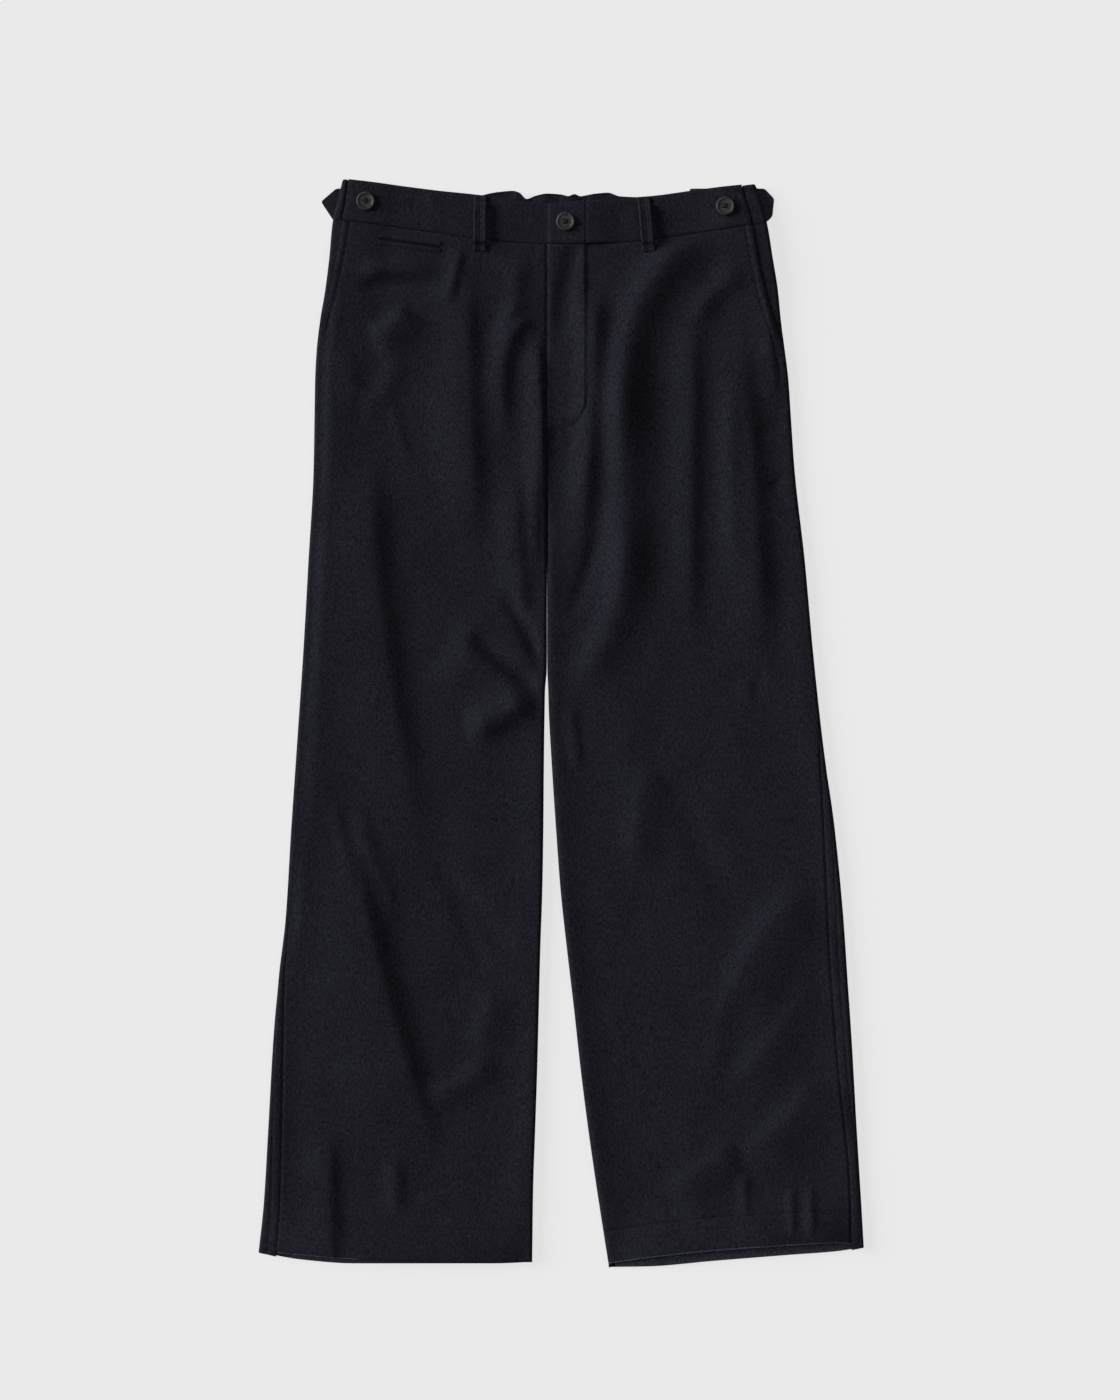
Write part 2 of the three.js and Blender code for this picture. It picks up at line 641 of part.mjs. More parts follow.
// The pressed turn-up inside each hem, front and back.
function hemTurnUps(side) {
  const columns = evenly(14);
  const fromTo = (y) => [
    side.outer(y) - side.out * TURNUP_INSET,
    side.inner(y) + side.out * TURNUP_INSET,
  ];
  const plan = (hem) =>
    evenly(2).map((v) =>
      columns.map((u) => {
        let y = -500;
        let x = 0;
        for (let pass = 0; pass < 4; pass += 1) {
          x = lerp(...fromTo(y), u);
          y = lerp(side.hemStitch(x), hem(x) + GAP, v);
        }
        return [x, y];
      }),
    );
  const under = (x, y) => frontHeight(side, x, y) - CLOTH - 2 * GAP;
  add(`hem_front_${side.name}`, slab(plan(side.hemFront), (x, y) => under(x, y) - HEM_CLOTH, under));
  const floor = CLOTH + GAP;
  add(`hem_back_${side.name}`, slab(plan(side.hemBack), () => floor, () => floor + HEM_CLOTH));
}

// Height of the front waistband's outer face. The left band laps over the right one at the centre.
function bandHeight(side, x, y) {
  const laps = side.name === "left" ? 1 - smoothstep(x, RAISE_FULL_X, RAISE_END_X) : 0;
  return lift(y) + 2 * ROLL + BAND_PROUD + pocketLayer(side, x, y) + OVERLAP_RAISE * laps;
}

function frontBand(side) {
  const centre = side.name === "right" ? UNDERLAP_X : CENTRE_X + GAP;
  const columns = evenly(24);
  const grid = evenly(3).map((v) =>
    columns.map((u) => {
      let x = 0;
      let y = 510;
      for (let pass = 0; pass < 5; pass += 1) {
        const edge = side.outer(y) - side.out * (side.pocketInset(y) + GAP / 2);
        x = lerp(edge, centre, u);
        y = lerp(waistSeam(x) + SEAM, bandTop(x), v);
      }
      return spot(x, y, bandHeight(side, x, y));
    }),
  );
  add(`waistband_front_${side.name}`, wall(grid, BAND, side.name === "right" ? -1 : 1));
}

// The back waistband: gathered across the back, round both sides and onto the front to the pocket line.
function backBand() {
  const flat = evenly(6).slice(1, -1);
  const waveColumns = evenly(GATHERS.waves * 5);
  const gather = (x) => {
    const t = (x - GATHERS.from) / (GATHERS.to - GATHERS.from);
    if (t <= 0 || t >= 1) return 0;
    return (GATHERS.rise / 2) * (1 - Math.cos(2 * Math.PI * GATHERS.waves * t)) * Math.sin(Math.PI * t);
  };
  const grid = evenly(3).map((v) => {
    const yAt = (x) => lerp(waistSeam(x) + SEAM, backBandTop(x), v);
    const proud = () => BAND_PROUD;
    const run = (side) => {
      const y = yAt(side.outer(yAt(side.outer(500))));
      const start = aroundTo(side.pocketInset(y)) - GAP / 2;
      return BAND_TURN.toReversed().map((f) => sidePoint(side, lerp(-QUARTER - 1, start, f), yAt, proud));
    };
    const under = (x) => spot(x, yAt(x), lift(yAt(x)) - BAND_PROUD + gather(x));
    const right = run(SIDES.right).reverse();
    const left = run(SIDES.left);
    return [
      ...right,
      ...flat.map((f) => under(lerp(right[right.length - 1].x, GATHERS.from, f))),
      ...waveColumns.map((u) => under(lerp(GATHERS.from, GATHERS.to, u))),
      ...flat.map((f) => under(lerp(GATHERS.to, left[0].x, f))),
      ...left,
    ];
  });
  add("waistband_back", wall(grid, BAND, 1));
}

// The fly: a J-shaped placket lying on the left front, its folded edge at the centre.
function fly() {
  const side = SIDES.left;
  const foot = (x) => {
    const t = clamp((x - FLY.right) / (FLY.left - FLY.right), 0, 1);
    return FLY_FOOT_Y + FLY.corner * (1 - Math.sqrt(1 - t ** 3));
  };
  const columns = [0, 0.2, 0.4, 0.6, 0.78, 0.91, 1];
  const plan = evenly(9).map((v) =>
    columns.map((u) => {
      const x = lerp(FLY.right, FLY.left, u);
      return [x, lerp(foot(x), waistSeam(x) - SEAM, v)];
    }),
  );
  const low = (x, y) => frontHeight(side, x, y) + FLY.gap;
  add("fly_placket", slab(plan, low, (x, y) => low(x, y) + FLY.thick));
}

// Two narrow jets, above and below the slit of the small pocket under the right waistband.
function coinPocket() {
  const side = SIDES.right;
  const { slitFrom, slitTo, lip, slit, thick } = COIN_POCKET;
  const low = (x, y) => frontHeight(side, x, y) + pocketLayer(side, x, y) + GAP;
  const jet = (name, from, to) => {
    const plan = evenly(2).map((v) =>
      evenly(8).map((u) => [
        lerp(slitFrom[0], slitTo[0], u),
        lerp(slitFrom[1], slitTo[1], u) + lerp(from, to, v),
      ]),
    );
    add(name, slab(plan, low, (x, y) => low(x, y) + thick));
  };
  jet("coin_pocket_jet_upper", slit / 2, slit / 2 + lip);
  jet("coin_pocket_jet_lower", -slit / 2 - lip, -slit / 2);
}

// A front belt loop: both ends lie on the cloth, and the strip between them stands clear for a belt.
function frontLoop({ name, top, bottom }) {
  const side = top[0] < 0 ? SIDES.right : SIDES.left;
  const length = top[1] - bottom[1];
  const { width, thick, foot, slot, footLength, riseLength } = LOOP;
  const panel = frontHeight(side, ...bottom) + pocketLayer(side, ...bottom);
  const band = bandHeight(side, ...top);
  const low = panel + GAP + foot;
  const high = band + GAP + foot;
  const stand = band + slot + thick;
  const profile = [
    { along: 0, z: low },
    { along: footLength, z: low },
    { along: footLength + riseLength * 0.35, z: lerp(low, stand, 0.2) },
    { along: footLength + riseLength * 0.7, z: lerp(low, stand, 0.82) },
    { along: footLength + riseLength, z: stand },
    { along: length / 2, z: stand + 0.3 },
    { along: length - footLength - riseLength, z: stand },
    { along: length - footLength - riseLength * 0.7, z: lerp(high, stand, 0.82) },
    { along: length - footLength - riseLength * 0.35, z: lerp(high, stand, 0.2) },
    { along: length - footLength, z: high },
    { along: length, z: high },
  ];
  const grid = profile.map(({ along, z }) => {
    const t = along / length;
    const x = lerp(bottom[0], top[0], t);
    const y = lerp(bottom[1], top[1], t);
    return [-width / 2, 0, width / 2].map((dx) => spot(x + dx, y, z));
  });
  add(name, wall(grid, thick, -1));
}

// A back belt loop, pressed flat between the back and the surface.
function backLoop({ name, x }) {
  const half = LOOP.width / 2;
  const { thick, low, high } = BACK_LOOP;
  const plan = [low, high].map((y) => [x - half, x + half].map((corner) => [corner, y]));
  add(name, slab(plan, () => 0, () => thick));
}

// A waist tab: a doubled strap under the back waistband, its pointed end lying out past the side.
function sideTab(side) {
  const shape = new THREE.Shape();
  const corners = TABS[side.name].map(([x, y]) => new THREE.Vector2(x, y));
  corners.forEach((corner, k) => {
    const before = corners[(k + corners.length - 1) % corners.length];
    const after = corners[(k + 1) % corners.length];
    const from = before.clone().sub(corner).setLength(TAB.corner).add(corner);
    const to = after.clone().sub(corner).setLength(TAB.corner).add(corner);
    if (k === 0) shape.moveTo(from.x, from.y);
    else shape.lineTo(from.x, from.y);
    shape.quadraticCurveTo(corner.x, corner.y, to.x, to.y);
  });
  shape.closePath();
  const options = { depth: TAB.thick, bevelEnabled: false, curveSegments: 3 };
  add(`side_tab_${side.name}`, new THREE.ExtrudeGeometry(shape, options));
}

// A four-hole button with a raised rim.
async function buttons() {
  const wasm = await Module();
  wasm.setup();
  const { radius, thick, rim, dish, hole, spread, sides } = BUTTON;
  const profile = [
    [0, 0],
    [radius - 1.6, 0],
    [radius - 0.2, 0.9],
    [radius, 1.8],
    [radius - 0.5, thick - 0.2],
    [radius - 1.1, thick],
    [radius - rim - 0.5, thick - dish],
    [0, thick - dish],
  ].map(([r, z]) => new THREE.Vector2(r, z));
  const asSolid = (geometry) => {
    geometry.deleteAttribute("normal");
    geometry.deleteAttribute("uv");
    const merged = mergeVertices(geometry, 1e-4);
    return new wasm.Manifold(
      new wasm.Mesh({
        numProp: 3,
        vertProperties: new Float32Array(merged.attributes.position.array),
        triVerts: new Uint32Array(merged.index.array),
      }),
    );
  };
  const blank = new THREE.LatheGeometry(profile, sides).rotateX(Math.PI / 2);
  let solid = asSolid(blank);
  for (let k = 0; k < 4; k += 1) {
    const angle = (k * Math.PI) / 2 + Math.PI / 4;
    const drill = new THREE.CylinderGeometry(hole, hole, 3 * thick, 6).rotateX(Math.PI / 2);
    drill.translate(spread * Math.cos(angle), spread * Math.sin(angle), thick / 2);
    solid = solid.subtract(asSolid(drill));
  }
  const cut = solid.getMesh();
  const geometry = new THREE.BufferGeometry();
  geometry.setAttribute("position", new THREE.Float32BufferAttribute(cut.vertProperties, 3));
  geometry.setIndex(Array.from(cut.triVerts));
  for (const { name, x, y } of BUTTONS) {
    const side = name === "button_side_right" ? SIDES.right : SIDES.left;
    const around = evenly(12).map((t) => 2 * Math.PI * t);
    const heights = around.map((a) => bandHeight(side, x + radius * Math.cos(a), y + radius * Math.sin(a)));
    add(name, geometry.clone(), HORN).position.set(x, y, Math.max(...heights) + GAP);
  }
}

for (const side of Object.values(SIDES)) {
  frontPanel(side);
  backPanel(side);
  pocketBearer(side);
  hemTurnUps(side);
  frontBand(side);
  sideTab(side);
}
backBand();
fly();
coinPocket();
FRONT_LOOPS.forEach(frontLoop);
BACK_LOOPS.forEach(backLoop);
await buttons();

export default trousers;
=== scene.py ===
import math
from collections import namedtuple
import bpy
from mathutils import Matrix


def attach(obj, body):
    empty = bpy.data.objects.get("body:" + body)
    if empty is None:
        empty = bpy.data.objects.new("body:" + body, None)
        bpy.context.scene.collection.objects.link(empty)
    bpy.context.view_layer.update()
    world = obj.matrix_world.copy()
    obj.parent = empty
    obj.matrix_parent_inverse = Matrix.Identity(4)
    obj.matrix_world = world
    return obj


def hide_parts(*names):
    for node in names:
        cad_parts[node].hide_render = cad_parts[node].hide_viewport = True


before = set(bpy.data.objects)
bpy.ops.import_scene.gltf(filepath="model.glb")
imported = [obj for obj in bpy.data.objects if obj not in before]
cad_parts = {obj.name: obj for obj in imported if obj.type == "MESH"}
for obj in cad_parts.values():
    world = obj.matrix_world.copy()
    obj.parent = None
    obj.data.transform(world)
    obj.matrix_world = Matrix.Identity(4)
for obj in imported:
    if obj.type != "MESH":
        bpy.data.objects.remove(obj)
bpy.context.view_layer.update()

from types import SimpleNamespace

import bpy
import numpy as np
from mathutils import Matrix, Vector

bpy.ops.object.select_all(action="DESELECT")

# The studio: a pale floor that glows a little, to be as even as the photograph's ground, a broad soft light
# low on the left, a weak one above on the right, and a dim surround. The camera looks straight down, and
# its frame covers 1097.6 by 1372 mm of floor.
mm = 0.001


def linear(hex_colour):
    """An sRGB colour written as hex, as the linear colour that Blender works in."""
    channels = [int(hex_colour[k : k + 2], 16) / 255 for k in (1, 3, 5)]
    return [c / 12.92 if c <= 0.04045 else ((c + 0.055) / 1.055) ** 2.4 for c in channels] + [1.0]


def new_material(name, roughness, specular):
    material = bpy.data.materials.new(name)
    material.use_nodes = True
    skin = material.node_tree.nodes["Principled BSDF"]
    skin.inputs["Roughness"].default_value = roughness
    skin.inputs["Specular IOR Level"].default_value = specular
    return material, skin


photo_height = 1372 * mm
photo_middle = (-1.2 * mm, 23.3 * mm)
camera_height = 3.4
cloth_level = 8 * mm
sensor = 24

bpy.ops.object.camera_add(location=(*photo_middle, camera_height), rotation=(0, 0, 0))
camera = bpy.context.object
camera.data.sensor_fit = "VERTICAL"
camera.data.sensor_height = sensor
camera.data.lens = sensor * (camera_height - cloth_level) / photo_height
bpy.context.scene.camera = camera
bpy.context.scene.view_settings.view_transform = "Standard"

Sun = namedtuple("Sun", "place energy angle")
for sun in (Sun((-2.95, 0.75, 1.15), 6.2, 34), Sun((1.2, 0.0, 2.6), 0.7, 60)):
    bpy.ops.object.light_add(type="SUN", location=sun.place)
    light = bpy.context.object
    light.data.energy = sun.energy
    light.data.angle = math.radians(sun.angle)
    light.rotation_euler = (-light.location).to_track_quat("-Z", "Y").to_euler()

world = bpy.data.worlds.new("even studio light")
world.use_nodes = True
world.node_tree.nodes["Background"].inputs["Color"].default_value = linear("#ffffff")
world.node_tree.nodes["Background"].inputs["Strength"].default_value = 0.08
bpy.context.scene.world = world

bpy.ops.mesh.primitive_plane_add(size=14, location=(0, 0, -0.4 * mm))
floor = bpy.context.object
floor.name = "floor"
floor_paint, floor_skin = new_material("pale studio floor", roughness=1.0, specular=0.0)
floor_skin.inputs["Base Color"].default_value = linear("#616161")
floor_skin.inputs["Emission Color"].default_value = (1.0, 1.0, 1.0, 1.0)
floor_skin.inputs["Emission Strength"].default_value = 0.706
floor.data.materials.append(floor_paint)

# Front panels: wool flannel, cut in one from the waistband to the hem, each a shell on its solid's form.
# The left front carries the fly, a second layer under it that ends in a J-shaped row of stitches.
cloth = 1.5  # one layer of flannel
gap = 0.3  # between pieces at a seam
rolled_gap = 0.5  # the same on the outside of a rolled edge
layer = cloth + gap  # what one layer adds to a pile
roll = 3.8  # radius of the soft edge where the front turns into the back
quarter = math.pi / 2 * roll
seam = gap / 2 + 0.1  # from the waist seam's line to the edge of each piece that it joins
centre_x = -13.9
crotch_y, seat_seam_y, fly_foot_y = 160, 230, 290


def table(kind, *rows):
    """A list of rows with the kind's named columns."""
    return [kind(*row) for row in rows]


Edge = namedtuple("Edge", "y right left")
outline = table(
    Edge,
    (534, -213.5, 187.5), (513, -218.5, 195.5), (492, -224.0, 201.5), (456, -227.5, 207.5),
    (425, -231.5, 212.5), (396, -236.5, 215.5), (366, -240.0, 219.5), (337, -241.5, 223.0),
    (307, -242.0, 225.0), (249, -243.0, 229.0), (160, -248.0, 239.0), (72, -253.0, 247.0),
    (-16, -259.0, 256.5), (-104, -265.0, 268.5), (-192, -270.5, 277.0), (-251, -277.5, 281.0),
    (-310, -282.5, 285.0), (-398, -287.5, 290.0), (-472, -292.0, 294.5), (-519, -297.0, 297.2),
)
inside_leg = table(
    Edge,
    (160, -14.0, -13.8), (72, -14.0, -13.8), (52, -14.2, -13.6), (43, -15.0, -13.2), (34, -15.8, -12.8),
    (15, -16.2, -12.3), (-45, -17.0, -9.0), (-104, -17.5, -5.1), (-163, -18.5, -0.7), (-222, -20.5, 5.7),
    (-280, -22.0, 12.5), (-339, -23.5, 19.0), (-398, -25.5, 26.5), (-457, -27.5, 35.0),
    (-531, -28.5, 46.5),
)
Place = namedtuple("Place", "x y")
waist_line = table(
    Place,
    (-225, 494.5), (-205, 492.0), (-172, 488.0), (-118, 480.5), (-88, 476.2), (-60, 473.0), (-14, 470.2),
    (24, 470.4), (74, 472.8), (92, 475.1), (136, 481.5), (186, 488.8), (202, 491.3),
)
hem_edges = {
    "right": {
        "front": [(-297, -517.6), (-256, -520.1), (-217, -523.0), (-158, -526.0), (-89, -527.9), (-28, -527.9)],
        "back": [(-297, -518.6), (-256, -526.0), (-203, -529.9), (-66, -529.9), (-28, -528.4)],
        "stitch": [(-293, -485.9), (-223, -488.8), (-159, -492.7), (-30, -498.0)],
    },
    "left": {
        "front": [(47, -529.4), (89, -522.5), (150, -515.7), (223, -510.8), (266, -508.8), (297, -512.7)],
        "back": [(47, -533.4), (84, -532.9), (150, -527.4), (223, -521.6), (271, -517.9), (297, -513.7)],
        "stitch": [(45, -498.0), (101, -489.2), (160, -483.3), (223, -479.4), (248, -477.9), (293, -480.4)],
    },
}
hem_mouth = {"right": 15.0, "left": 15.6}

Inset = namedtuple("Inset", "y inset")
pocket_edges = {
    "right": table(
        Inset,
        (540, 4.6), (503, 8.5), (488, 9.6), (454, 7.0), (423, 4.4), (400, 2.2), (378, 0.2),
    ),
    "left": table(
        Inset,
        (540, 11.5), (512, 15.0), (489, 15.3), (455, 15.0), (421, 12.6), (384, 5.0), (354, 1.6),
        (329, 0.2),
    ),
}
Outseam = namedtuple("Outseam", "y over")
outseams = {
    "right": table(
        Outseam,
        (-60, 0), (-150, 3.0), (-233, 7.2), (-319, 12.7), (-417, 16.2), (-519, 20.2),
    ),
    "left": table(
        Outseam,
        (60, 0), (-35, 7.6), (-124, 14.7), (-233, 18.7), (-323, 17.7), (-440, 12.7), (-519, 15.2),
    ),
}

# Each fold runs from head through bend to foot. It stands up by rise, or sinks where that is negative,
# and reaches wide_left towards -X and wide_right towards +X, so a small reach gives the steep side.
Fold = namedtuple("Fold", "head bend foot wide_left wide_right rise")
folds = table(
    Fold,
    ((-190, 276), (-178, 100), (-138, -140), 46, 16, 7.0),
    ((-212, 450), (-223, 330), (-226, 190), 14, 24, 3.2),
    ((-228, 230), (-234, 40), (-244, -160), 14, 26, 3.0),
    ((-97, 458), (-91, 317), (-86, 150), 32, 13, 6.2),
    ((-13, 408), (-54, 366), (-52, 262), 15, 9, 5.4),
    ((-40, 466), (-46, 415), (-54, 360), 11, 10, 3.0),
    ((-26, 390), (-20, 290), (-22, 110), 12, 7, 5.8),
    ((-48, 262), (-42, 160), (-38, 80), 18, 9, 4.4),
    ((-116, 84), (-70, 62), (-14, 50), 34, 34, 5.6),
    ((-94, 94), (-58, 62), (-16, 30), 9, 9, -6.0),
    ((-96, -6), (-60, 8), (-24, 30), 17, 15, 8.0),
    ((-62, 136), (-34, 92), (-14, 52), 8, 8, -5.0),
    ((-212, -92), (-174, -262), (-121, -434), 66, 15, 8.0),
    ((30, 430), (30, 327), (15, 130), 14, 12, 8.0),
    ((152, 492), (71, 394), (58, 215), 16, 21, 8.8),
    ((58, 400), (60, 250), (58, 80), 15, 26, 8.4),
    ((60, 230), (54, 120), (6, 18), 15, 22, 6.4),
    ((38, 190), (24, 146), (9, 100), 7, 7, -2.4),
    ((182, 448), (150, 422), (128, 386), 12, 12, 4.6),
    ((130, 430), (126, 250), (127, 50), 20, 12, 6.2),
    ((168, 360), (166, 250), (170, 120), 9, 9, 2.0),
    ((166, 390), (185, 250), (197, 20), 32, 14, 6.4),
    ((210, 420), (207, 357), (200, 290), 14, 16, 2.4),
    ((98, -45), (78, -80), (74, -165), 13, 20, 3.2),
    ((112, -36), (136, -120), (180, -178), 14, 14, -2.6),
    ((250, -160), (194, -216), (162, -300), 16, 46, 6.4),
    ((252, -252), (208, -312), (160, -368), 12, 30, 3.0),
    ((254, -342), (224, -388), (172, -430), 13, 36, 5.2),
    ((180, -416), (140, -438), (98, -472), 13, 26, 4.2),
    ((-229, -395), (-227, -470), (-225, -550), 24, 9, 4.4),
)
creases = table(
    Fold,
    ((-200, 440), (-160, 446), (-112, 438), 8, 8, 3.6),
    ((-202, 424), (-163, 431), (-110, 424), 8, 8, -3.4),
    ((-190, 376), (-165, 390), (-149, 412), 10, 26, 7.6),
    ((-202, 310), (-176, 322), (-161, 364), 12, 14, 3.2),
    ((-214, 372), (-206, 340), (-200, 300), 12, 9, 1.8),
    ((-168, 322), (-158, 286), (-147, 250), 6, 4, 1.1),
    ((-99, 470), (-104, 440), (-114, 404), 9, 5, 2.8),
    ((-50, 372), (-42, 399), (-14, 396), 6, 6, -2.4),
    ((17, 482), (6, 430), (0, 366), 9, 9, -4.0),
    ((188, 282), (206, 288), (226, 292), 5, 5, -1.6),
    ((204, 226), (214, 238), (224, 250), 5, 5, -1.6),
    ((-226, -70), (-213, -118), (-203, -162), 8, 6, 1.5),
    ((-203, -72), (-183, -135), (-156, -202), 8, 8, 2.0),
    ((-125, -130), (-92, -175), (-45, -236), 10, 10, -2.6),
    ((-112, -155), (-90, -205), (-72, -252), 8, 8, -1.8),
    ((-66, -256), (-72, -290), (-86, -326), 12, 20, 3.4),
    ((-134, -366), (-98, -352), (-62, -322), 11, 16, 4.4),
    ((-142, -466), (-126, -468), (-110, -466), 6, 6, 1.6),
    ((-164, -420), (-162, -452), (-161, -488), 10, 8, 2.6),
    ((8, 22), (12, -10), (18, -52), 6, 6, 2.0),
    ((176, 46), (184, 28), (190, 8), 8, 8, 1.6),
    ((200, 60), (192, 35), (186, 6), 6, 6, -0.9),
    ((164, -262), (156, -300), (150, -352), 9, 12, 1.3),
    ((181, -438), (180, -462), (180, -488), 6, 5, 1.8),
    ((226, -450), (226, -480), (226, -508), 5, 4, 2.0),
    ((244, -446), (245, -478), (245, -506), 5, 4, 2.0),
)
# How high the cloth lies over the floor: its lift at the waist, where it rests on loops and tabs, its top
# over hips and legs, and the lengths over which it settles from an edge, the waistband and the hem.
lie = SimpleNamespace(
    waist_lift=3.2, lift_full_y=452, lift_end_y=370, hip=6.6, leg=5.4, leg_y=60, hip_y=330,
    fade=18, waist_settle=90, hem_zone=62, edge_fade=16, soft_floor=0.5,
)
Swell = namedtuple("Swell", "rise size_x size_y seed")
front_swells = [Swell(0.7, 24, 80, 7), Swell(0.26, 13, 22, 11)]
fly = SimpleNamespace(right=centre_x + gap / 2, left=24.3, corner=32, height=2.0)


def through(marks, known="x", wanted="y"):
    """A smooth curve through a table's rows, with no overshoot."""
    rows = sorted(marks, key=lambda row: getattr(row, known))
    at = np.array([getattr(row, known) for row in rows], float)
    value = np.array([getattr(row, wanted) for row in rows], float)
    step = np.diff(at)
    slope = np.diff(value) / step
    tangent = np.concatenate([slope[:1], np.zeros(len(slope) - 1), slope[-1:]])
    for k in range(1, len(slope)):
        if slope[k - 1] * slope[k] > 0:
            w1, w2 = 2 * step[k] + step[k - 1], step[k] + 2 * step[k - 1]
            tangent[k] = (w1 + w2) / (w1 / slope[k - 1] + w2 / slope[k])

    def curve(where):
        p = np.clip(where, at[0], at[-1])
        k = np.clip(np.searchsorted(at, p, side="right") - 1, 0, len(step) - 1)
        t = (p - at[k]) / step[k]
        return (
            (2 * t**3 - 3 * t**2 + 1) * value[k]
            + (t**3 - 2 * t**2 + t) * step[k] * tangent[k]
            + (3 * t**2 - 2 * t**3) * value[k + 1]
            + (t**3 - t**2) * step[k] * tangent[k + 1]
        )

    return curve


def smoothstep(value, low, high):
    t = np.clip((value - low) / (high - low), 0, 1)
    return t * t * (3 - 2 * t)


def lerp(a, b, t):
    return a + (b - a) * t


waist_seam = through(waist_line)
sides = {
    name: SimpleNamespace(
        name=name,
        out=-1 if name == "right" else 1,
        outer=through(outline, "y", name),
        inner=through(inside_leg, "y", name),
        pocket_inset=through(pocket_edges[name], "y", "inset"),
        pocket_end=pocket_edges[name][-1].y,
        outseam_over=through(outseams[name], "y", "over"),
        hem_front=through(table(Place, *hem_edges[name]["front"])),
        hem_back=through(table(Place, *hem_edges[name]["back"])),
        hem_stitch=through(table(Place, *hem_edges[name]["stitch"])),
        mouth=hem_mouth[name],
    )
    for name in ("right", "left")
}
right, left = sides["right"], sides["left"]


fold_steps = 14  # straight steps that a fold's curved line is measured with
fold_reach = 2.6  # beyond this many widths a fold is too low to matter


def fold_rise(fold, x, y):
    """How much one fold raises the cloth at each place."""
    result = np.zeros(np.shape(x))
    head, bend, foot = (np.array(p, float) for p in fold[:3])
    middle = 2 * bend - (head + foot) / 2
    t = np.linspace(0, 1, fold_steps + 1)[:, None]
    path = (1 - t) ** 2 * head + 2 * t * (1 - t) * middle + t**2 * foot
    reach = fold_reach * max(fold.wide_left, fold.wide_right)
    low, high = path.min(axis=0) - reach, path.max(axis=0) + reach
    near = (x > low[0]) & (x < high[0]) & (y > low[1]) & (y < high[1])
    if not near.any():
        return result
    px, py = x[near], y[near]
    best = np.full(px.shape, np.inf)
    along = np.zeros(px.shape)
    towards = np.zeros(px.shape)
    for k in range(fold_steps):
        (ax, ay), (bx, by) = path[k], path[k + 1] - path[k]
        s = np.clip(((px - ax) * bx + (py - ay) * by) / (bx * bx + by * by), 0, 1)
        dx, dy = px - ax - s * bx, py - ay - s * by
        distance = np.hypot(dx, dy)
        closer = distance < best
        best = np.where(closer, distance, best)
        along = np.where(closer, (k + s) / fold_steps, along)
        towards = np.where(closer, dx, towards)
    width = np.where(towards > 0, fold.wide_right, fold.wide_left)
    ends = smoothstep(np.minimum(along, 1 - along), 0, 0.3)
    result[near] = fold.rise * ends * np.exp(-((best / width) ** 2))
    return result


def knot_weight(t):
    return np.where(t < 1, (4 - 6 * t**2 + 3 * t**3) / 6, np.where(t < 2, (2 - t) ** 3 / 6, 0))


def unevenness(x, y, swells):
    """Soft random swells, each as high as its rise and about as wide as its two sizes."""
    knots, middle, fullness = 90, 45, 1.8
    total = np.zeros(np.shape(x))
    for swell in swells:
        level = np.random.default_rng(swell.seed).uniform(-1, 1, (knots, knots))
        u, v = x / swell.size_x + middle, y / swell.size_y + middle
        i, j = np.floor(u).astype(int), np.floor(v).astype(int)
        for k in range(-1, 3):
            for m in range(-1, 3):
                weight = knot_weight(np.abs(u - i - k)) * knot_weight(np.abs(v - j - m))
                at = np.clip(i + k, 0, knots - 1), np.clip(j + m, 0, knots - 1)
                total += swell.rise * fullness * weight * level[at]
    return total


def lift(y):
    return lie.waist_lift * smoothstep(y, lie.lift_end_y, lie.lift_full_y)


def split_share(y):
    return 1 - smoothstep(y, crotch_y, fly_foot_y)


def fade_from(inset):
    return np.exp(-((np.maximum(inset - roll, 0) / lie.fade) ** 2))


def front_height(side, x, y):
    """Height of the front's outer face, with its folds. Valleys rest softly on the back panel."""
    outer_inset = np.abs(side.outer(y) - x)
    split = split_share(y)
    inner_inset = np.where(y < fly_foot_y, np.abs(side.inner(y) - x), 1e9)
    rolled = np.maximum(fade_from(outer_inset), split * fade_from(inner_inset))
    waist_gap = waist_seam(x) - y
    hem_gap = y - side.hem_front(x)
    leg_lie = lerp(lie.leg, lie.hip, smoothstep(y, lie.leg_y, lie.hip_y))
    body = lerp(2 * roll, leg_lie, smoothstep(waist_gap, 0, lie.waist_settle))
    width = np.abs(side.outer(y) - side.inner(y))
    bow = np.sin(np.pi * np.clip(outer_inset / width, 0, 1)) ** 0.7
    hem_lie = lerp(2 * roll, side.mouth, bow)
    level = lerp(body, hem_lie, 1 - smoothstep(hem_gap, 0, lie.hem_zone))
    near_inner = lerp(1, smoothstep(inner_inset, roll, lie.edge_fade), split)
    edge_fade = smoothstep(outer_inset, roll, lie.edge_fade) * near_inner
    near_waist = smoothstep(waist_gap, 2, 16)
    raised = sum(fold_rise(fold, x, y) for fold in folds)
    raised = raised + unevenness(x, y, front_swells)
    small = sum(fold_rise(crease, x, y) for crease in creases)
    shaped = raised * near_waist + small * smoothstep(waist_gap, 0, 6)
    height = lift(y) + lerp(level, 2 * roll, rolled) + shaped * edge_fade
    resting = lift(y) + layer + cloth
    return resting + lie.soft_floor * np.logaddexp(0, (height - resting) / lie.soft_floor)


def pocket_share(side, y):
    return np.where(y > side.pocket_end, smoothstep(side.pocket_inset(y), 0.2, 6), 0)


def pocket_layer(side, x, y):
    """What the pocket's inner piece adds under the front, fading out where that piece ends."""
    inset = np.abs(side.outer(y) - x)
    return layer * pocket_share(side, y) * (1 - smoothstep(inset, 34, 62))


def around_to(inset):
    return np.where(inset < roll, roll * np.arccos(np.clip(1 - inset / roll, -1, 1)), quarter + inset - roll)


def inset_of(around):
    a = np.abs(around)
    return np.where(a < quarter, roll * (1 - np.cos(a / roll)), roll + a - quarter)


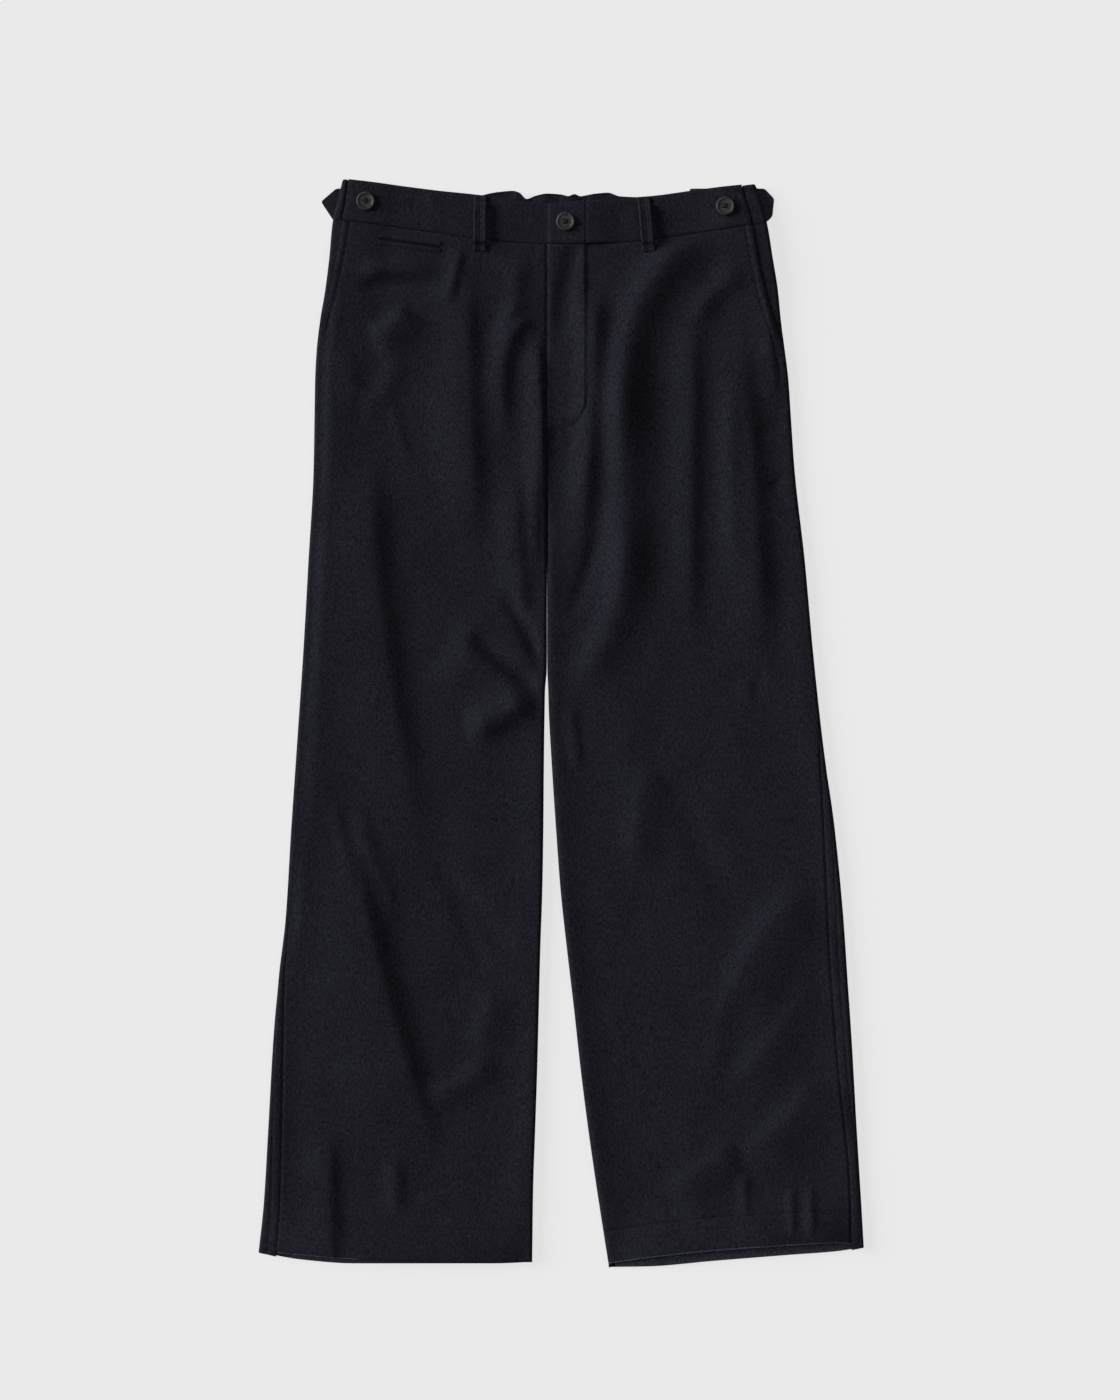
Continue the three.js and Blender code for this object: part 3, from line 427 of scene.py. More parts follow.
def side_points(side, around, y_at, proud):
    """Points of the outer face at the garment's side, over the top where around is positive."""
    y = y_at(side.outer(0) + 0 * around)
    for _ in range(5):
        x = side.outer(y) - side.out * inset_of(around)
        y = y_at(x)
    extra = proud(x, y)
    angle = np.clip(around / roll, -math.pi / 2, math.pi / 2)
    radius = roll + extra
    rolled_x = side.outer(y) - side.out * (roll - radius * np.cos(angle))
    rolled_z = lift(y) + roll + radius * np.sin(angle)
    flat_z = np.where(around > 0, front_height(side, x, y) + extra, lift(y) - extra)
    on_roll = np.abs(around) < quarter
    return np.stack([np.where(on_roll, rolled_x, x), y, np.where(on_roll, rolled_z, flat_z)], -1)


def inner_points(side, around, y_at, over):
    """Points of the outer face near the inner leg or the centre seam, of the front where over is 1."""
    y = y_at(centre_x + 0 * around)
    for _ in range(5):
        meeting = centre_x + side.out * (0.05 if over > 0 else 0)
        edge = lerp(side.inner(y), meeting, smoothstep(y, crotch_y - 60, crotch_y))
        x = edge + side.out * inset_of(around)
        y = y_at(x)
    full = split_share(y) if over > 0 else 1 - smoothstep(y, crotch_y, seat_seam_y)
    angle = np.clip(around / roll, 0, math.pi / 2)
    drop = full * (roll * (1 - np.sin(angle)) - gap / 2 * np.cos(angle))
    face = front_height(side, x, y) if over > 0 else lift(y)
    return np.stack([x, y, face - over * drop], -1)


def front_edge(side, y):
    """How far over the side's roll the front panel begins."""
    pocket = around_to(side.pocket_inset(y)) + gap / 2
    return np.where(y > side.pocket_end, pocket, np.maximum(side.outseam_over(y), rolled_gap / 2))


def side_level(side, y_at):
    """The height along the garment at which a row meets its side."""
    return y_at(side.outer(y_at(side.outer(0))))


def deselect():
    bpy.ops.object.select_all(action="DESELECT")


def dress(piece, paint):
    piece.data.materials.append(paint)
    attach(piece, "root")


def cloth_piece(name, points, thickness, facing=1, paint=None):
    """A shell on a grid of outer points in mm, whose rows run from the hem up."""
    if points[0, 0, 0] > points[0, -1, 0]:
        points = points[:, ::-1]
    rows, columns = points.shape[:2]
    deselect()
    bpy.ops.mesh.primitive_grid_add(x_subdivisions=columns - 1, y_subdivisions=rows - 1, size=1)
    piece = bpy.context.object
    piece.name = piece.data.name = name
    piece.data.vertices.foreach_set("co", (points * mm).reshape(-1))
    piece.data.update()
    if facing < 0:
        bpy.ops.object.mode_set(mode="EDIT")
        bpy.ops.mesh.select_all(action="SELECT")
        bpy.ops.mesh.flip_normals()
        bpy.ops.object.mode_set(mode="OBJECT")
    wall = piece.modifiers.new("wall", "SOLIDIFY")
    wall.thickness = thickness * mm
    wall.offset = -1
    bpy.ops.object.modifier_apply(modifier=wall.name)
    bpy.ops.object.shade_smooth_by_angle(angle=math.radians(50))
    dress(piece, paint or flannel)
    return piece


def paint_hem_highlight(piece, is_on_lit_edge):
    """Paints the faces along an edge in the paler flannel: a painted highlight where the rolled edge catches
    the light.
    """
    piece.data.materials.append(hem_highlight_flannel)
    for face in piece.data.polygons:
        x, y, _ = face.center / mm
        if is_on_lit_edge(x, y):
            face.material_index = 1


def add_node(material, kind, inputs=None, **settings):
    """A new node in a material, with its settings, and its inputs set to values or linked to sockets."""
    node = material.node_tree.nodes.new(kind)
    for name, value in settings.items():
        setattr(node, name, value)
    for name, value in (inputs or {}).items():
        if isinstance(value, bpy.types.NodeSocket):
            material.node_tree.links.new(value, node.inputs[name])
        else:
            node.inputs[name].default_value = value
    return node


def wool_flannel(name, dark, pale):
    """Milled wool flannel: a dull felted nap of dark navy and grey fibres over a soft twill.
    The eye sees a fine mottle of about one millimetre and no single threads."""
    cloth_paint, skin = new_material(name, roughness=0.95, specular=0.0)
    place = add_node(cloth_paint, "ShaderNodeTexCoord").outputs["Object"]
    nap = add_node(
        cloth_paint, "ShaderNodeTexNoise",
        {"Vector": place, "Scale": 1 / (1.2 * mm), "Detail": 3.0, "Roughness": 0.7},
    )
    drawn = add_node(cloth_paint, "ShaderNodeMapping", {"Vector": place, "Scale": (1.0, 0.3, 1.0)})
    fibre = add_node(
        cloth_paint, "ShaderNodeTexNoise",
        {"Vector": drawn.outputs["Vector"], "Scale": 1 / (1.1 * mm), "Detail": 2.0, "Roughness": 0.5},
    )
    cloud = add_node(
        cloth_paint, "ShaderNodeTexNoise",
        {"Vector": place, "Scale": 1 / (38 * mm), "Detail": 2.0, "Roughness": 0.5},
    )
    mottle = add_node(
        cloth_paint, "ShaderNodeMath",
        {0: nap.outputs["Fac"], 1: fibre.outputs["Fac"]}, operation="ADD",
    )
    mottle = add_node(
        cloth_paint, "ShaderNodeMath",
        {0: cloud.outputs["Fac"], 1: 0.12, 2: mottle.outputs[0]}, operation="MULTIPLY_ADD",
    )
    colours = add_node(cloth_paint, "ShaderNodeValToRGB")
    colours.color_ramp.elements[0].position = 0.25
    colours.color_ramp.elements[0].color = linear(dark)
    colours.color_ramp.elements[1].position = 0.78
    colours.color_ramp.elements[1].color = linear(pale)
    spread = add_node(
        cloth_paint, "ShaderNodeMapRange",
        {"Value": mottle.outputs[0], "From Min": 0.6, "From Max": 1.52, "To Min": 0.0, "To Max": 1.0},
    )
    links = cloth_paint.node_tree.links
    links.new(spread.outputs["Result"], colours.inputs["Fac"])
    bump = add_node(
        cloth_paint, "ShaderNodeBump",
        {"Height": mottle.outputs[0], "Strength": 0.5, "Distance": 0.25 * mm},
    )
    links.new(colours.outputs["Color"], skin.inputs["Base Color"])
    links.new(bump.outputs["Normal"], skin.inputs["Normal"])
    skin.inputs["Sheen Weight"].default_value = 0.012
    skin.inputs["Sheen Roughness"].default_value = 0.5
    skin.inputs["Sheen Tint"].default_value = linear("#c8ccea")
    return cloth_paint


flannel = wool_flannel("milled navy wool flannel", "#111115", "#25252d")
# A paler copy of the flannel: a painted highlight for the rolled hem edges.
hem_highlight_flannel = wool_flannel("flannel nap standing up along a fold", "#24242c", "#484856")
# Another paler copy of the flannel: painted light that lifts the shade in the legs' mouths and on the left tab.
flannel_painted_against_shade = wool_flannel("flannel painted paler against shade", "#1e1e25", "#3c3c48")


def trench(distance, depth, width):
    """The small trench that a row of stitches pulls into the cloth, at a distance from it."""
    return -depth * np.exp(-((distance / width) ** 2))


def folded_edge(distance, drop, reach):
    """How far a pressed edge falls away as it is neared."""
    return -drop * np.exp(-((np.maximum(distance, 0) / reach) ** 2))


def fly_depth(x, y):
    """How far inside the fly's row of stitches a place lies, and less than 0 outside it."""
    t = np.clip((x - fly.right) / (fly.left - fly.right), 0, 1)
    foot = fly_foot_y + fly.corner * (1 - np.sqrt(np.maximum(1 - t**3, 0)))
    below = (y - foot) * np.where(t > 0.9, 0.45, 0.9)
    return np.minimum(fly.left - x, below)


def fly_raise(x, y):
    """The fly's second layer, and the trench of its stitches, on the left front."""
    depth = fly_depth(x, y)
    from_fold = x - fly.right
    step = fly.height * smoothstep(depth, -2.6, 2.2) + folded_edge(from_fold, 1.2, 1.5) * (y > fly_foot_y)
    return step + trench(depth, 0.5, 1.3)


pocket_stitch = 6.8  # from the pocket's edge to the stitches beside it
outseam_stitch = 8.3  # from the outseam to the stitches on the back's side of it


def front_detail(side, x, y):
    """What pressing and sewing do to the front: softened edges, and a trench along each row of stitches."""
    over = np.abs(side.outer(y) - x)
    edge = np.where(y > side.pocket_end, side.pocket_inset(y), inset_of(side.outseam_over(y)))
    from_edge = over - edge
    in_pocket = smoothstep(y, side.pocket_end, side.pocket_end + 14)
    pocket = in_pocket * (trench(from_edge - pocket_stitch, 0.65, 1.3) + 0.35 * (from_edge < pocket_stitch))
    pressed = folded_edge(from_edge, 0.7, 1.3) * smoothstep(edge, 1.0, 6.0)
    waist = folded_edge(waist_seam(x) - y - seam, 0.8, 1.5)
    hem = folded_edge(y - side.hem_front(x), 0.9, 1.6) + trench(y - side.hem_stitch(x), 0.9, 1.4)
    centre = folded_edge(np.abs(x - centre_x), 0.9, 1.8) * (y > crotch_y)
    if side is left:
        centre = centre * (y < fly_foot_y)
    return pocket + pressed + waist + hem + centre


def front_proud(side, x, y):
    extra = pocket_layer(side, x, y) + front_detail(side, x, y)
    return extra + fly_raise(x, y) if side is left else extra


def garment_rows(count, hem_stitches):
    """Shares of the way from waist to hem, closer together at both ends and at the hem's stitches."""
    ends = np.array([0, 0.4, 0.9, 1.5, 2.3, 3.3]) / 1000
    return np.unique(np.concatenate([np.linspace(0, 1, count), ends, 1 - ends, hem_stitches]))[::-1, None]


front_rows = garment_rows(372, np.linspace(0.9645, 0.9725, 11))
middle_columns = 72
edge_columns = np.array([0, 0.5, 1.1, 1.8, 2.6, 3.6, 4.6, 5.6, 6.3, 7.0, 7.8, 9.0, 10.4, 12])
fly_columns = np.array(
    [0, 0.4, 0.8, 1.3, 1.9, 2.8, 4, 6, 8.5, 11.5, 14.5, 17.5, 20.5, 23.5, 26.5, 29.5, 32, 34.2, 35.6, 36.6]
    + [37.3, 37.9, 38.5, 39.2, 40.1, 41.4, 43.2]
)


def front_grid(side):
    def y_at(x):
        return lerp(waist_seam(x) - seam, side.hem_front(x), front_rows)

    def proud(x, y):
        return front_proud(side, x, y)

    outer = side_points(side, front_edge(side, side_level(side, y_at)) + edge_columns[None, :], y_at, proud)
    steps = (edge_columns if side is right else fly_columns)[None, ::-1]
    inner = inner_points(side, steps + 0 * front_rows, y_at, 1)
    inner[..., 2] += proud(inner[..., 0], inner[..., 1])
    share = np.linspace(0, 1, middle_columns)[None, 1:-1]
    x = lerp(outer[:, -1:, 0], inner[:, :1, 0], share)
    y = y_at(x)
    middle = np.stack([x, y, front_height(side, x, y) + proud(x, y)], -1)
    return np.concatenate([outer, middle, inner], axis=1)


front_cloth = {}
for side in (right, left):
    front_cloth[side.name] = cloth_piece(f"front_{side.name}_cloth", front_grid(side), cloth)
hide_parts("front_right")
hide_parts("front_left", "fly_placket")
# A painted highlight: a narrow band along each front hem edge gets the paler flannel.
paint_hem_highlight(front_cloth["right"], lambda x, y: y - right.hem_front(x) < 1.0 and x < -200)
paint_hem_highlight(front_cloth["left"], lambda x, y: y - left.hem_front(x) < 1.5)

# Back panels: the same flannel, flat where they rest, rolled round the sides and onto the front below
# the knee, where the outseam shows on the top.
back_rows = garment_rows(270, np.linspace(0.9655, 0.9735, 9))


def back_grid(side):
    def y_at(x):
        return lerp(waist_seam(x) - seam, side.hem_back(x), back_rows)

    level = side_level(side, y_at)
    start = np.where(level > side.pocket_end, -rolled_gap / 2, front_edge(side, level) - rolled_gap)
    steps = np.concatenate([[0, 0.02, 0.05], np.linspace(0.08, 1, 29)])[None, :]
    around = lerp(start, -quarter - 1, steps)

    def proud(x, y):
        from_seam = start - around
        rolled_over = smoothstep(start, 4, 10)
        sewn = rolled_over * (trench(from_seam - outseam_stitch, 0.5, 1.2) + folded_edge(from_seam, 0.5, 1.3))
        return sewn + trench(y - side.hem_stitch(x), 0.5, 1.3) * (around > 2)

    outer = side_points(side, around, y_at, proud)
    inner = inner_points(side, np.linspace(14, 0, 9)[None, :] + 0 * back_rows, y_at, -1)
    x = lerp(outer[:, -1:, 0], inner[:, :1, 0], np.linspace(0, 1, 30)[None, 1:-1])
    y = y_at(x)
    middle = np.stack([x, y, lift(y)], -1)
    return np.concatenate([outer, middle, inner], axis=1)


for side in (right, left):
    cloth_piece(f"back_{side.name}_cloth", back_grid(side), cloth, facing=-1)
    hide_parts(f"back_{side.name}")


# Pocket bearers: the pockets' inner pieces, flannel on the outer face, lying in the slant of each opening
# and running on under the front.
Cut = namedtuple("Cut", "width length area")


def bearer_grid(side):
    rows = np.linspace(0, 1, 60)[:, None]

    def y_at(x):
        return lerp(waist_seam(x) - seam, side.pocket_end + 1, rows)

    def sunk(x, y):
        return -layer * (1 - pocket_share(side, y))

    end = around_to(side.pocket_inset(side_level(side, y_at))) + 18
    steps = np.concatenate([np.linspace(0, 0.34, 14), [0.6, 1]])[None, :]
    return side_points(side, lerp(rolled_gap, end, steps), y_at, sunk)[::-1]


for side in (right, left):
    bearer = cloth_piece(f"pocket_bearer_{side.name}_cloth", bearer_grid(side), cloth)
    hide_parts(f"pocket_bearer_{side.name}")

# Hem turn-ups: the same cloth pressed up inside each leg, front and back, and seen only in the leg's mouth,
# where the back one is painted paler than the flannel, painted light that lifts the shade cast into the mouth.
turnup = 1.3


def turnup_grid(side, hem, level):
    share = np.linspace(1, 0, 9)[:, None]
    across = np.linspace(0, 1, 90)[None, :]
    y = -500 + 0 * share * across
    for _ in range(4):
        x = lerp(side.outer(y) - side.out * 7, side.inner(y) + side.out * 7, across)
        y = lerp(side.hem_stitch(x), hem(x) + gap, share)
    return np.stack([x, y, level(x, y)], -1)


def under_front(side):
    return lambda x, y: front_height(side, x, y) - cloth - 2 * gap


def over_back(x, y):
    return cloth + gap + turnup + 0 * x


for side in (right, left):
    upper_grid = turnup_grid(side, side.hem_front, under_front(side))
    lower_grid = turnup_grid(side, side.hem_back, over_back)
    upper = cloth_piece(f"hem_front_{side.name}_cloth", upper_grid, turnup)
    lower = cloth_piece(f"hem_back_{side.name}_cloth", lower_grid, turnup, paint=flannel_painted_against_shade)
    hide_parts(f"hem_front_{side.name}")
    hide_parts(f"hem_back_{side.name}")

# Front waistband: two folded flannel halves with an interlining, the wearer's left one lapping over the
# right one and buttoned to it. The hole for the button is cut along the band.
band_cloth = 2.4
band_proud = 0.6  # how far the waistband stands out of the panels
band_top = through(
    table(
        Place,
        (-217, 534.2), (-189, 531.0), (-166, 528.0), (-119, 522.0), (-87, 518.7), (-60, 515.3),
        (-38, 512.3), (-14, 510.0), (23, 512.5), (58, 514.8), (87, 516.8), (136, 523.3), (164, 526.6),
        (192, 529.3),
    )
)
underlap_x = 20
buttonhole = (Place(3, 489.6), Place(22.0, 488.6))
band_stitch_x = 24.3
band_swells = [Swell(0.45, 22, 14, 21), Swell(0.2, 8, 9, 22)]


def near_line(x, y, start, end):
    """Distance from the straight line between two places."""
    bx, by = end.x - start.x, end.y - start.y
    t = np.clip(((x - start.x) * bx + (y - start.y) * by) / (bx * bx + by * by), 0, 1)
    return np.hypot(x - start.x - t * bx, y - start.y - t * by)


def band_height(side, x, y):
    laps = 1 - smoothstep(x, 27, 62) if side is left else 0
    return lift(y) + 2 * roll + band_proud + pocket_layer(side, x, y) + (band_cloth + gap) * laps


def band_detail(side, x, y):
    """Pressed edges all round, the hole's slit, the stitches beside the overlap, and a slight unevenness."""
    top = folded_edge(band_top(x) - y, 0.9, 1.7)
    bottom = folded_edge(y - waist_seam(x) - seam, 0.7, 1.4)
    end = folded_edge(np.abs(side.outer(y) - x) - side.pocket_inset(y), 0.9, 1.6)
    detail = top + bottom + end + unevenness(x, y, band_swells) * smoothstep(band_top(x) - y, 1, 6)
    if side is right:
        return detail
    edge = folded_edge(x - centre_x - gap, 1.3, 1.7)
    slit = -1.4 * np.exp(-((near_line(x, y, *buttonhole) / 0.9) ** 2))
    return detail + edge + slit + trench(x - band_stitch_x, 0.6, 1.1)


def band_grid(side):
    near_edges = [0.01, 0.035, 0.06, 0.94, 0.965, 0.99]
    v = np.unique(np.concatenate([np.linspace(0, 1, 40), near_edges]))[:, None]
    centre = underlap_x if side is right else centre_x + gap
    u = np.unique(np.concatenate([np.linspace(0, 1, 110), 1 - np.linspace(0, 45, 60) / 220]))[None, :]
    x, y = 0 * u * v, 510 + 0 * u * v
    for _ in range(5):
        edge = side.outer(y) - side.out * (side.pocket_inset(y) + gap / 2)
        x = lerp(edge, centre, u)
        y = lerp(waist_seam(x) + seam, band_top(x), v)
    return np.stack([x, y, band_height(side, x, y) + band_detail(side, x, y)], -1)


for side in (right, left):
    band = cloth_piece(f"waistband_front_{side.name}_cloth", band_grid(side), band_cloth)
    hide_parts(f"waistband_front_{side.name}")

# Back waistband: one folded length with its interlining, gathered across the back, round both sides and
# onto the front as far as the pockets. Its ruffles stand up behind the front band.
back_band_top = through(
    table(
        Place,
        (-217, 533.9), (-150, 524.5), (-86, 517.0), (-72, 520.0), (-60, 522.0), (-48, 523.0),
        (-41, 521.0), (-34, 515.0), (-25, 518.2), (-13, 520.2), (-1, 519.6), (7, 517.7), (13, 519.7),
        (19, 517.7), (25, 518.7), (35, 520.3), (46, 521.2), (58, 517.4), (100, 516.5), (150, 523.5),
        (192, 528.9),
    )
)
gathers = SimpleNamespace(start=-104, end=96, waves=8, rise=1.5, small_rise=0.22, small_waves=19, beats=2.5)


def gather(x):
    t = np.clip((x - gathers.start) / (gathers.end - gathers.start), 0, 1)
    turns = 2 * math.pi * t
    wave = gathers.rise / 2 * (1 - np.cos(gathers.waves * turns))
    small = gathers.small_rise * np.sin(gathers.small_waves * turns) * np.sin(gathers.beats * turns)
    return (wave + small) * np.sin(math.pi * t)


def back_band_grid():
    v = np.unique(np.concatenate([np.linspace(0, 1, 26), [0.015, 0.95, 0.975]]))[:, None]

    def y_at(x):
        return lerp(waist_seam(x) + seam, back_band_top(x), v)

    def proud(x, y):
        top = folded_edge(back_band_top(x) - y, 0.6, 1.5)
        return band_proud + top + folded_edge(y - waist_seam(x) - seam, 0.5, 1.3)

    def turn(side):
        start = around_to(side.pocket_inset(side_level(side, y_at))) - gap / 2
        around = lerp(-quarter - 1, start, np.linspace(1, 0, 26)[None, :])

        def ending(x, y):
            return proud(x, y) + folded_edge(start - around, 0.9, 1.5)

        return side_points(side, around, y_at, ending)

    from_right, from_left = turn(right), turn(left)[:, ::-1]
    x = lerp(from_right[:, -1:, 0], from_left[:, :1, 0], np.linspace(0, 1, 300)[None, 1:-1])
    y = y_at(x)
    under = np.stack([x, y, lift(y) - proud(x, y) + gather(x)], -1)
    return np.concatenate([from_right, under, from_left], axis=1)


back_band = cloth_piece("waistband_back_cloth", back_band_grid(), band_cloth, facing=-1)
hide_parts("waistband_back")

# Small jetted pocket under the right waistband: two narrow folded strips of flannel, sewn down round
# their outer edges, with the slit between them, over a strip of the pocket's cotton lining made near black as
# painted shade in the slit.
coin = SimpleNamespace(start=Place(-178.6, 475.0), end=Place(-117.8, 466.7), lip=4.5, slit=2.5, thick=1.0)
coin_length = 61
jet_swells = [Swell(0.12, 9, 4, 31)]


def coin_place(u, v):
    """Places u of the way along the slit and v mm above its middle."""
    return lerp(coin.start.x, coin.end.x, u) + 0 * v, lerp(coin.start.y, coin.end.y, u) + v


def jet_grid(low, high):
    v = np.array([0, 0.06, 0.14, 0.25, 0.4, 0.5, 0.6, 0.75, 0.86, 0.94, 1])[:, None]
    u = np.unique(np.concatenate([np.linspace(0, 1, 60), [0.003, 0.01, 0.02, 0.98, 0.99, 0.997]]))[None, :]
    x, y = coin_place(u, lerp(low, high, v))
    edges = folded_edge(v * coin.lip, 0.7, 0.9) + folded_edge((1 - v) * coin.lip, 0.7, 0.9)
    ends = folded_edge(u * coin_length, 0.5, 0.7) + folded_edge((1 - u) * coin_length, 0.5, 0.7)
    base = front_height(right, x, y) + front_proud(right, x, y) + gap
    return np.stack([x, y, base + coin.thick + edges + ends + unevenness(x, y, jet_swells)], -1)


near, far = coin.slit / 2, coin.slit / 2 + coin.lip
for name, low, high in (("upper", near, far), ("lower", -far, -near)):
    jet = cloth_piece(f"coin_pocket_jet_{name}_cloth", jet_grid(low, high), coin.thick)
    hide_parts(f"coin_pocket_jet_{name}")


def slit_shade_grid():
    u, v = np.linspace(0.01, 0.99, 60)[None, :], np.linspace(-5.2, 5.2, 9)[:, None]
    x, y = coin_place(u, v)
    return np.stack([x, y, front_height(right, x, y) + front_proud(right, x, y) + 0.22], -1)


def slit_shade_cotton():
    """The pocket's lining cotton, smooth and dull, made near black as painted shade so the slit reads as a dark
    line.
    """
    paint, skin = new_material("black pocketing cotton", roughness=0.9, specular=0.1)
    skin.inputs["Base Color"].default_value = linear("#060608")
    return paint


# A near-black strip laid under the slit: the pocket's lining, coloured as painted shade in the slit.
slit_shade_strip = cloth_piece("coin_pocket_lining_painted_shade", slit_shade_grid(), 0.15, paint=slit_shade_cotton())

# Belt loops: narrow flannel strips with both edges folded in, so each edge stands up as a ridge. The ends
# of the two front ones are turned under and tacked; the three behind are pressed flat under the band.
loop = SimpleNamespace(width=13.4, thick=1.6, foot=1.8, slot=4.6, foot_length=4.5, rise_length=6, tack=3.2)
Loop = namedtuple("Loop", "name side top bottom")
front_loops = [
    Loop("belt_loop_front_right", right, Place(-79.0, 517.0), Place(-79.6, 462.8)),
    Loop("belt_loop_front_left", left, Place(80.8, 515.2), Place(85.8, 462.4)),
]
BackLoop = namedtuple("BackLoop", "name x")
back_loops = [
    BackLoop("belt_loop_back_right", -120),
    BackLoop("belt_loop_back_centre", 13),
    BackLoop("belt_loop_back_left", 112),
]
across_loop = np.array([-6.7, -6.5, -6.1, -5.5, -4.8, -4.0, -3.2, -2.2, -1.1, -0.5, 0])
across_loop = np.concatenate([across_loop, -across_loop[-2::-1]])[None, :]


def loop_section(dx):
    """Height across a loop: a ridge at each folded edge, and a shallow line along the middle."""
    ridges = 0.62 * np.exp(-(((np.abs(dx) - 4.9) / 1.15) ** 2))
    return ridges + folded_edge(loop.width / 2 - np.abs(dx), 0.8, 0.75) - 0.4 * np.exp(-((dx / 0.8) ** 2))


def front_loop_grid(item):
    length = item.top.y - item.bottom.y
    foot_x, foot_y = np.array([item.bottom.x]), np.array([item.bottom.y])
    panel = float((front_height(item.side, foot_x, foot_y) + pocket_layer(item.side, foot_x, foot_y))[0])
    band = float(band_height(item.side, np.array([item.top.x]), np.array([item.top.y]))[0])
    low, high = panel + gap + loop.foot, band + gap + loop.foot
    stand = band + loop.slot + loop.thick
    reach, rise = loop.foot_length, loop.rise_length
    along = np.array([0, reach, reach + 0.35 * rise, reach + 0.7 * rise, reach + rise, length / 2])
    along = np.concatenate([along, length - along[-2::-1]])
    height = [low, low, lerp(low, stand, 0.2), lerp(low, stand, 0.82), stand, stand + 0.3]
    height += [stand, lerp(high, stand, 0.82), lerp(high, stand, 0.2), high, high]
    profile = through([Place(a, z) for a, z in zip(along, height)])
    near_ends = [0.3, 0.7, 1.2, length - 0.3, length - 0.7]
    at = np.unique(np.concatenate([np.linspace(0, length, 70), near_ends]))[:, None]
    t = at / length
    flare = 1 + 0.05 * np.exp(-((at / 3) ** 2))
    x = lerp(item.bottom.x, item.top.x, t) + across_loop * flare
    y = lerp(item.bottom.y, item.top.y, t) + 0 * across_loop
    ends = folded_edge(at, 0.7, 1.0) + folded_edge(length - at, 1.0, 1.4)
    tack = -0.35 * (np.exp(-(((at - 3.4) / 0.8) ** 2)) + np.exp(-(((length - at - 3.4) / 0.8) ** 2)))
    return np.stack([x, y, profile(at) + loop_section(across_loop) + ends + tack], -1)


for item in front_loops:
    strip = cloth_piece(f"{item.name}_cloth", front_loop_grid(item), loop.thick)
    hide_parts(item.name)
back_loop_foot, back_loop_top = 463, 515
for item in back_loops:
    at = np.linspace(back_loop_foot, back_loop_top, 60)[:, None]
    ends = folded_edge(at - back_loop_foot, 0.2, 0.9) + folded_edge(back_loop_top - at, 0.2, 0.9)
    height = 1.95 + loop_section(across_loop) * 0.4 + ends
    points = np.stack([item.x + across_loop + 0 * at, at + 0 * across_loop, height], -1)
    strip = cloth_piece(f"{item.name}_cloth", points, loop.thick - 0.2)
    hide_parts(item.name)

# Waist tabs: doubled flannel straps sewn under the back waistband, each with a pointed end. The buttons
# beside them are for drawing the waist in. The left one is painted paler than the flannel, painted light that
# lifts the band's shadow on it.
tab_thick, tab_corner = 2.2, 2.5
tabs = {
    "right": table(
        Place,
        (-150, 525.5), (-221, 525.5), (-235.9, 512.6), (-223.5, 493.8), (-150, 493.8),
    ),
    "left": table(
        Place,
        (126, 525.5), (199.6, 525.5), (209.2, 515.4), (207.4, 498.0), (201.8, 492.6), (126, 492.6),
    ),
}


def rounded(corners, radius):
    """The corners' outline with each corner rounded off."""
    outline_points = []
    marks = [np.array(corner, float) for corner in corners]
    for k, corner in enumerate(marks):
        before = marks[k - 1] - corner
        after = marks[(k + 1) % len(marks)] - corner
        first = corner + before / np.hypot(*before) * radius
        last = corner + after / np.hypot(*after) * radius
        for t in np.linspace(0, 1, 5):
            outline_points.append((1 - t) ** 2 * first + 2 * t * (1 - t) * corner + t**2 * last)
    return outline_points


def soften(piece, width, segments, angle=30):
    """Rounds off the edges that are sharper than the angle."""
    rounding = piece.modifiers.new("softened edges", "BEVEL")
    rounding.width, rounding.segments = width * mm, segments
    rounding.limit_method, rounding.angle_limit = "ANGLE", math.radians(angle)
    bpy.ops.object.modifier_apply(modifier=rounding.name)


# The left tab gets the paler flannel as painted light against the band's shadow on it.
tab_flannel_or_painted_light = {"right": flannel, "left": flannel_painted_against_shade}
for side_name, corners in tabs.items():
    points = rounded(corners, tab_corner)
    deselect()
    bpy.ops.mesh.primitive_circle_add(vertices=len(points), fill_type="NGON", radius=1)
    tab = bpy.context.object
    tab.name = tab.data.name = f"side_tab_{side_name}_cloth"
    turn = 1 if side_name == "left" else -1
    for vertex, (x, y) in zip(tab.data.vertices, points[::turn]):
        vertex.co = (x * mm, y * mm, 0)
    bpy.ops.object.mode_set(mode="EDIT")
    bpy.ops.mesh.select_all(action="SELECT")
    bpy.ops.mesh.normals_make_consistent(inside=False)
    bpy.ops.mesh.extrude_region_move(TRANSFORM_OT_translate={"value": (0, 0, tab_thick * mm)})
    bpy.ops.mesh.select_all(action="SELECT")
    bpy.ops.mesh.normals_make_consistent(inside=False)
    bpy.ops.object.mode_set(mode="OBJECT")
    soften(tab, 0.7, 4, angle=60)
    bpy.ops.object.shade_smooth_by_angle(angle=math.radians(50))
    dress(tab, tab_flannel_or_painted_light[side_name])
    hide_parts(f"side_tab_{side_name}")

# Buttons: dark horn, turned with a rounded rim and a dished face, and drilled with four holes. Each is sewn
# on with a cross of thread.


